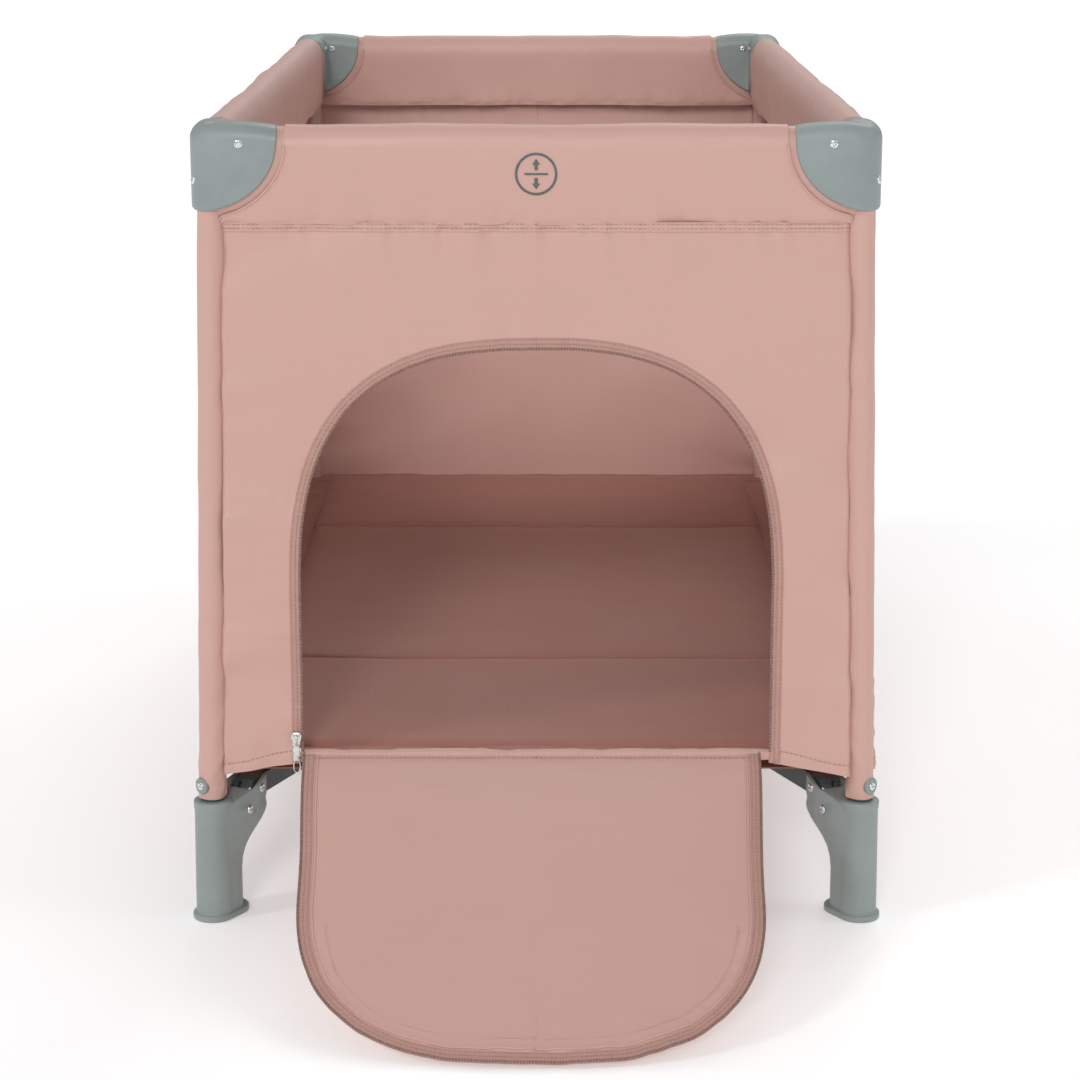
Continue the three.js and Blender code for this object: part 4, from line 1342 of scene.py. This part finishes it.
def pull_strap():
    """The webbing loop on the hub, as a flat band with soft edges."""
    low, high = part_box("hub_pull_strap")
    band = 8 * MM
    mid_x, mid_y = high.x - band / 2, high.y - band / 2
    corner = 5 * MM
    path = []
    for sx, sy, start in ((1, 1, 0), (-1, 1, 90), (-1, -1, 180), (1, -1, 270)):
        for degrees in np.linspace(0, 90, 8):
            angle = math.radians(start + degrees)
            path.append((sx * (mid_x - corner) + corner * math.cos(angle),
                         sy * (mid_y - corner) + corner * math.sin(angle)))
    path = resampled(np.array(path + [path[0]]), 120)[:-1]
    tangent = unit(np.roll(path, -1, axis=0) - np.roll(path, 1, axis=0))
    normal = np.stack([tangent[:, 1], -tangent[:, 0]], axis=1)
    z = (low.z + high.z) / 2
    section = [(-4, 0), (-3.6, 0.7), (-2, 0.9), (2, 0.9), (3.6, 0.7), (4, 0), (3.6, -0.7), (-3.6, -0.7)]
    rings = [np.concatenate([path + normal * r * MM, np.full((len(path), 1), z + up * MM)], axis=1)
             for r, up in section]
    grid = np.stack(rings, axis=1)
    index = np.arange(grid.shape[0] * len(section)).reshape(grid.shape[0], len(section))
    index = np.concatenate([index, index[:1]])
    index = np.concatenate([index, index[:, :1]], axis=1)
    faces = np.stack([index[:-1, :-1], index[:-1, 1:], index[1:, 1:], index[1:, :-1]], axis=-1).reshape(-1, 4)
    strap = build("pull_strap_webbing", grid, faces, WEBBING, "root")
    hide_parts("hub_pull_strap")


# ---------- corner caps ----------
def cap_station(x):
    """Top and bottom of a cap at a place along an arm, x measured in from the outer side."""
    share = x / CAP_REACH
    top = HEIGHT - 4 * MM + 16 * MM * share * (1 - share)
    across, down = CAP_REACH - CAP_TIP, CAP_DROP - CAP_SHOULDER
    away = min(max((x - CAP_TIP) / across, 0), 1)
    return top, HEIGHT - CAP_SHOULDER - down * math.sqrt(1 - away ** 2)


def cap_section(x):
    """A cap's section at a station, as (depth from the outer face, height) round its outline."""
    top, bottom = cap_station(x)
    tall = top - bottom
    crown, edge = min(CAP_CROWN, 0.8 * tall), min(2.2 * MM, 0.1 * tall)
    corners = [(edge, bottom + edge, edge, 270, 180), (crown, top - crown, crown, 180, 90),
               (CAP_THICK - crown, top - crown, crown, 90, 0),
               (CAP_THICK - edge, bottom + edge, edge, 360, 270)]
    points = []
    for depth, height, radius, start, end in corners:
        for degrees in np.linspace(start, end, 9):
            angle = math.radians(degrees)
            points.append((depth + radius * math.cos(angle), height + radius * math.sin(angle)))
    return points


def cap_solid():
    """A corner cap swept round its corner in one piece, then cut for the rails."""
    rings = []
    arms = CAP_TIP + (CAP_REACH - CAP_TIP) * np.sin(np.linspace(math.pi / 2, math.asin(CAP_BEND), 34))
    for x in arms:
        rings.append([(HALF_WIDTH - x, HALF_LENGTH - depth, height) for depth, height in cap_section(x)])
    centre_x, centre_y = HALF_WIDTH - CAP_ROUND, HALF_LENGTH - CAP_ROUND
    for angle in np.linspace(0, math.pi / 2, 24)[1:-1]:
        x = CAP_ROUND - CAP_ROUND * math.sin(min(angle, math.pi / 2 - angle))
        ring = []
        for depth, height in cap_section(x):
            radius = CAP_ROUND - depth
            ring.append((centre_x + radius * math.sin(angle), centre_y + radius * math.cos(angle), height))
        rings.append(ring)
    for x in arms[::-1]:
        rings.append([(HALF_WIDTH - depth, HALF_LENGTH - x, height) for depth, height in cap_section(x)])
    solid = lofted("cap", rings)
    remeshed(solid, 1.1 * MM, 5)
    cutters = cap_cutters()
    for cutter in cutters:
        cut_away(solid, cutter)
    mesh = baked(solid)
    for cutter in cutters:
        bpy.data.objects.remove(cutter)
    return mesh


def box_object(name, low, high):
    corners = [(x, y, z) for x in (low[0], high[0]) for y in (low[1], high[1]) for z in (low[2], high[2])]
    faces = [(0, 1, 3, 2), (4, 6, 7, 5), (0, 4, 5, 1), (2, 3, 7, 6), (0, 2, 6, 4), (1, 5, 7, 3)]
    return scratch(name, corners, faces)


def cap_cutters():
    """The slots that the two half rails turn in."""
    slot = 10 * MM
    roof = RAIL_Z + 10 * MM
    past = 10.7 * MM
    reach = CAP_REACH + 5 * MM
    end_x, side_y = HALF_WIDTH - 63 * MM, HALF_LENGTH - 63 * MM
    floor = 0.6                              # well under the caps
    return [box_object("cutter_end", (HALF_WIDTH - reach, RAIL_Y - slot, floor),
                       (end_x + past, RAIL_Y + slot, roof)),
            box_object("cutter_side", (RAIL_X - slot, HALF_LENGTH - reach, floor),
                       (RAIL_X + slot, side_y + past, roof))]


def screw_mesh(radius, tall):
    """A round screw head with a cross recess, facing +Z, its rim on the XY plane."""
    rings, spokes = 15, 60
    points = []
    for k in range(rings):
        r = radius * k / (rings - 1)
        for spoke in range(spokes):
            angle = 2 * math.pi * spoke / spokes
            x, y = r * math.cos(angle), r * math.sin(angle)
            dome = tall * math.sqrt(max(0, 1 - (r / radius) ** 2.6))
            width = 0.15 * radius
            arm = min(abs(x), abs(y)) < width and r < 0.58 * radius
            dish = 0.75 * tall if arm else 0
            points.append((x, y, dome - dish))
    for spoke in range(spokes):
        angle = 2 * math.pi * spoke / spokes
        points.append((radius * math.cos(angle), radius * math.sin(angle), -1 * MM))
    faces = grid_faces(rings + 1, spokes, wrap=True)
    faces = faces[spokes:].tolist() + [[0, spokes + k, spokes + (k + 1) % spokes] for k in range(spokes)]
    faces.append([rings * spokes + k for k in range(spokes)][::-1])
    mesh = taken(scratch("screw", points, faces))
    made = bmesh.new()
    made.from_mesh(mesh)
    bmesh.ops.delete(made, geom=[v for v in made.verts if not v.link_faces], context="VERTS")
    bmesh.ops.recalc_face_normals(made, faces=made.faces)
    made.to_mesh(mesh)
    made.free()
    return mesh


def screw(name, mesh, at, towards, body):
    """A screw head at a point, facing a direction."""
    copy = mesh.copy()
    turn = Vector(towards).to_track_quat("Z", "Y").to_matrix().to_4x4()
    copy.transform(Matrix.Translation(at) @ turn)
    return place_mesh(name, copy, SCREW, body)


def corner_caps():
    solid = cap_solid()
    head = screw_mesh(4.3 * MM, 1.7 * MM)
    face_in, screw_z = 48 * MM, 767 * MM     # the flat faces' screws: in from the corner, and up
    for quarter, (sx, sy) in QUARTERS.items():
        body = f"leg_{quarter}"
        cap = place_mesh(f"cap_{quarter}", mirrored(solid, sx, sy, f"cap_{quarter}"), GREY, body)
        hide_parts(f"corner_cap_{quarter}")
        spots = [
            ((HALF_WIDTH - face_in, HALF_LENGTH, screw_z), (0, 1, 0)),
            ((HALF_WIDTH - face_in, HALF_LENGTH - CAP_THICK, screw_z), (0, -1, 0)),
            ((HALF_WIDTH, HALF_LENGTH - face_in, screw_z), (1, 0, 0)),
            ((HALF_WIDTH - CAP_THICK, HALF_LENGTH - face_in, screw_z), (-1, 0, 0)),
        ]
        angle = math.radians(BEND_SCREW_TURN)
        spots.append(((HALF_WIDTH - CAP_ROUND * (1 - math.sin(angle)),
                       HALF_LENGTH - CAP_ROUND * (1 - math.cos(angle)), BEND_SCREW_Z),
                      (math.sin(angle), math.cos(angle), 0)))
        for number, (at, towards) in enumerate(spots):
            way = Vector((towards[0] * sx, towards[1] * sy, 0))
            at = Vector((at[0] * sx, at[1] * sy, at[2])) - way * 0.3 * MM
            screw(f"cap_screw_{number}_{quarter}", head, at, way, body)


# ---------- feet ----------
def capsule_ring(a, radius_a, b, radius_b, z, count=48):
    """The outline round two circles at height z."""
    ring = []
    for k in range(count):
        angle = 2 * math.pi * k / count
        u = Vector((math.cos(angle), math.sin(angle)))
        pa, pb = Vector(a) + u * radius_a, Vector(b) + u * radius_b
        best = pa if pa.dot(u) > pb.dot(u) else pb
        ring.append((best.x, best.y, z))
    return ring


def leg_axis(z):
    return Vector((HALF_WIDTH - LEG_INSET + leg_shift(z), HALF_LENGTH - LEG_INSET + leg_shift(z)))


BAR_END = Vector((288 * MM, 588 * MM))
BAR_WAY = Vector((242, 542)).normalized()    # along a base bar, from the hub out to a foot
BAR_ASIDE = Vector((BAR_WAY.y, -BAR_WAY.x))
FOOT_COLUMN = Vector((320 * MM, 620 * MM))
EAR_GAP, EAR_THICK, EAR_Z = 12.6 * MM, 4.2 * MM, 126 * MM


def bar_point(u, aside):
    """A point u out from a bar's pivot along the bar, and aside of it."""
    return BAR_END + BAR_WAY * u + BAR_ASIDE * aside


def hull_ring(circles, z, count=72):
    """The outline drawn tight round several circles at height z."""
    ring = []
    for k in range(count):
        way = Vector((math.cos(2 * math.pi * k / count), math.sin(2 * math.pi * k / count)))
        best = max((centre + way * radius for centre, radius in circles), key=way.dot)
        ring.append((best.x, best.y, z))
    return ring


def foot_web():
    """The solid from the column to the bar: narrow at the ground, flaring to two ears at the top."""
    low = Vector((311 * MM, 606 * MM))
    # height in mm, and how far the web has flared out to its ears
    shape = ((1, 0), (46, 0), (58, 0.05), (68, 0.16), (77, 0.34), (85, 0.56), (93, 0.79), (100, 0.93),
             (105, 0.99), (109, 0.99), (112, 0.96), (115, 0.96), (118, 1), (140, 1))
    rings = []
    for z, flare in shape:
        circles = [(FOOT_COLUMN, 17.4 * MM)]
        for aside in (-1, 1):
            for u in (-7.5 * MM, 5 * MM):
                corner = bar_point(u, aside * (EAR_GAP + EAR_THICK - 3.5 * MM))
                circles.append((low.lerp(corner, flare), (17.3 * (1 - flare) + 3.5 * flare) * MM))
        rings.append(hull_ring(circles, z * MM))
    web = lofted("part_web", rings)
    cut = bmesh.new()
    cut.from_mesh(web.data)
    slope = Vector((BAR_WAY.x * 15, BAR_WAY.y * 15, 37)).normalized()
    there = bar_point(30 * MM, 0).to_3d() + Vector((0, 0, 122 * MM))
    sides = cut.verts[:] + cut.edges[:] + cut.faces[:]
    found = bmesh.ops.bisect_plane(cut, geom=sides, plane_co=there, plane_no=slope, clear_outer=True)
    edges = [e for e in found["geom_cut"] if isinstance(e, bmesh.types.BMEdge)]
    bmesh.ops.edgeloop_fill(cut, edges=edges)
    cut.to_mesh(web.data)
    cut.free()
    turn = Matrix.Rotation(math.atan2(BAR_WAY.y, BAR_WAY.x), 4, "Z")
    slot = box_object("foot_slot", Vector((-0.05, -EAR_GAP, 0.107)), Vector((0.0135, EAR_GAP, 0.15)))
    slot.data.transform(Matrix.Translation(BAR_END.to_3d()) @ turn)
    cut_away(web, slot, solver="EXACT")
    solid = linked("part_web_cut", baked(web))
    bpy.data.objects.remove(slot)
    return solid


def foot_solid():
    """A foot: a column with a thin flange at the ground, a lip round the leg, and a web to the bar."""
    column = [capsule_ring(FOOT_COLUMN, r * MM, FOOT_COLUMN, r * MM, z * MM)
              for z, r in ((1, 18.4), (30, 18.3), (90, 17.6), (112, 17.4), (121, 17.4), (122.5, 16.8))]
    lip = [capsule_ring(leg_axis(0.118), r * MM, leg_axis(0.118), r * MM, z * MM)
           for z, r in ((114, 17.2), (115, 18.8), (122, 19.0), (123.2, 18.3))]
    flange = [capsule_ring(Vector((321, 620.5)) * MM, (20.8 + grow) * MM, Vector((309, 603)) * MM,
                           (20.8 + grow) * MM, z * MM)
              for z, grow in ((0, -0.8), (0.8, 0), (5.4, 0), (6.6, -0.6), (7.0, -2.8))]
    parts = [lofted(f"part_{name}", rings)
             for name, rings in (("column", column), ("lip", lip), ("flange", flange))] + [foot_web()]
    merged = bmesh.new()
    for part in parts:
        merged.from_mesh(part.data)
        bpy.data.objects.remove(part)
    mesh = bpy.data.meshes.new("foot")
    merged.to_mesh(mesh)
    merged.free()
    solid = linked("foot", mesh)
    remeshed(solid, 0.9 * MM, 4)
    return baked(solid)


def washer_solid():
    """The round pad on a leg's lower end that its screw bears on, facing +Z."""
    rings = []
    for z, radius in ((-3, 8.6), (0.6, 8.6), (1.4, 8.2), (1.9, 7.2), (1.5, 6.2), (1.5, 0.01)):
        rings.append([(radius * MM * math.cos(a), radius * MM * math.sin(a), z * MM)
                      for a in np.linspace(0, 2 * math.pi, 40, endpoint=False)])
    return taken(lofted("washer", rings))


def feet():
    solid = foot_solid()
    rivet = screw_mesh(4.6 * MM, 1.8 * MM)
    small = screw_mesh(4.4 * MM, 1.8 * MM)
    pad = washer_solid()
    bar, aside = BAR_WAY.to_3d(), BAR_ASIDE.to_3d()
    for quarter, (sx, sy) in QUARTERS.items():
        body = f"leg_{quarter}"
        name = f"foot_shell_{quarter}"
        foot = place_mesh(name, mirrored(solid, sx, sy, name), GREY, body)
        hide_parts(f"foot_{quarter}")
        flip = Matrix.Diagonal((sx, sy, 1))
        for number, (back, drop, way) in enumerate(((0, 0, -1), (24, -15, -1), (0, 0, 1), (24, -15, 1))):
            at = BAR_END.to_3d() + bar * back * MM + Vector((0, 0, EAR_Z + drop * MM))
            at += aside * way * (EAR_GAP + EAR_THICK - 0.3 * MM)
            screw(f"foot_rivet_{number}_{quarter}", rivet, flip @ at, flip @ (aside * way), body)
        z = 139 * MM
        axis = leg_axis(z)
        towards = Vector((0.75, 0.66, 0)).normalized()
        at = Vector((axis.x, axis.y, z)) + towards * 13.4 * MM
        washer = pad.copy()
        turn = (flip @ towards).to_track_quat("Z", "Y").to_matrix().to_4x4()
        washer.transform(Matrix.Translation(flip @ at) @ turn)
        place_mesh(f"leg_washer_{quarter}", washer, GREY, body)
        screw(f"leg_screw_{quarter}", small, flip @ (at + towards * 1.5 * MM), flip @ towards, body)


# ---------- CAD parts that stay ----------
def finish_cad_parts():
    """Hard parts keep their CAD shape: edges are eased and each gets its finish."""
    # the finish of each kind of part, and how far its edges are eased, in mm
    finishes = {"base_bar": (STEEL, 0.8), "end_rail": (STEEL, 0), "side_rail": (STEEL, 0),
                "leg_tube": (STEEL, 0), "latch_button": (GREY, 0.6), "latch": (GREY, 0.8), "hub": (GREY, 1.5),
                "zip_box": (ZIP_METAL, 0.8), "zip_slider": (ZIP_METAL, 1.3), "zip_pull": (ZIP_METAL, 0.7)}
    for name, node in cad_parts.items():
        if node.hide_render:
            continue
        kind = max((k for k in finishes if name.startswith(k)), key=len, default=None)
        if kind is None:
            continue
        material, ease = finishes[kind]
        node.data.materials.clear()
        node.data.materials.append(material)
        if ease:
            bevel = node.modifiers.new("eased", "BEVEL")
            bevel.width = ease * MM
            bevel.segments = 3
            bevel.limit_method = "ANGLE"
            bevel.angle_limit = math.radians(35)
        smooth_shaded(node.data)
        node.data.set_sharp_from_angle(angle=math.radians(30))


front_wall()
back_wall()
side_walls()
wall_hems()
leg_sleeves()
rail_covers()
press_sign()
door_zip()
zip_metalwork()
door_sill()
door_flap()
mattress_boards()
floor_cloth()
floor_edges()
pull_strap()
corner_caps()
feet()
finish_cad_parts()
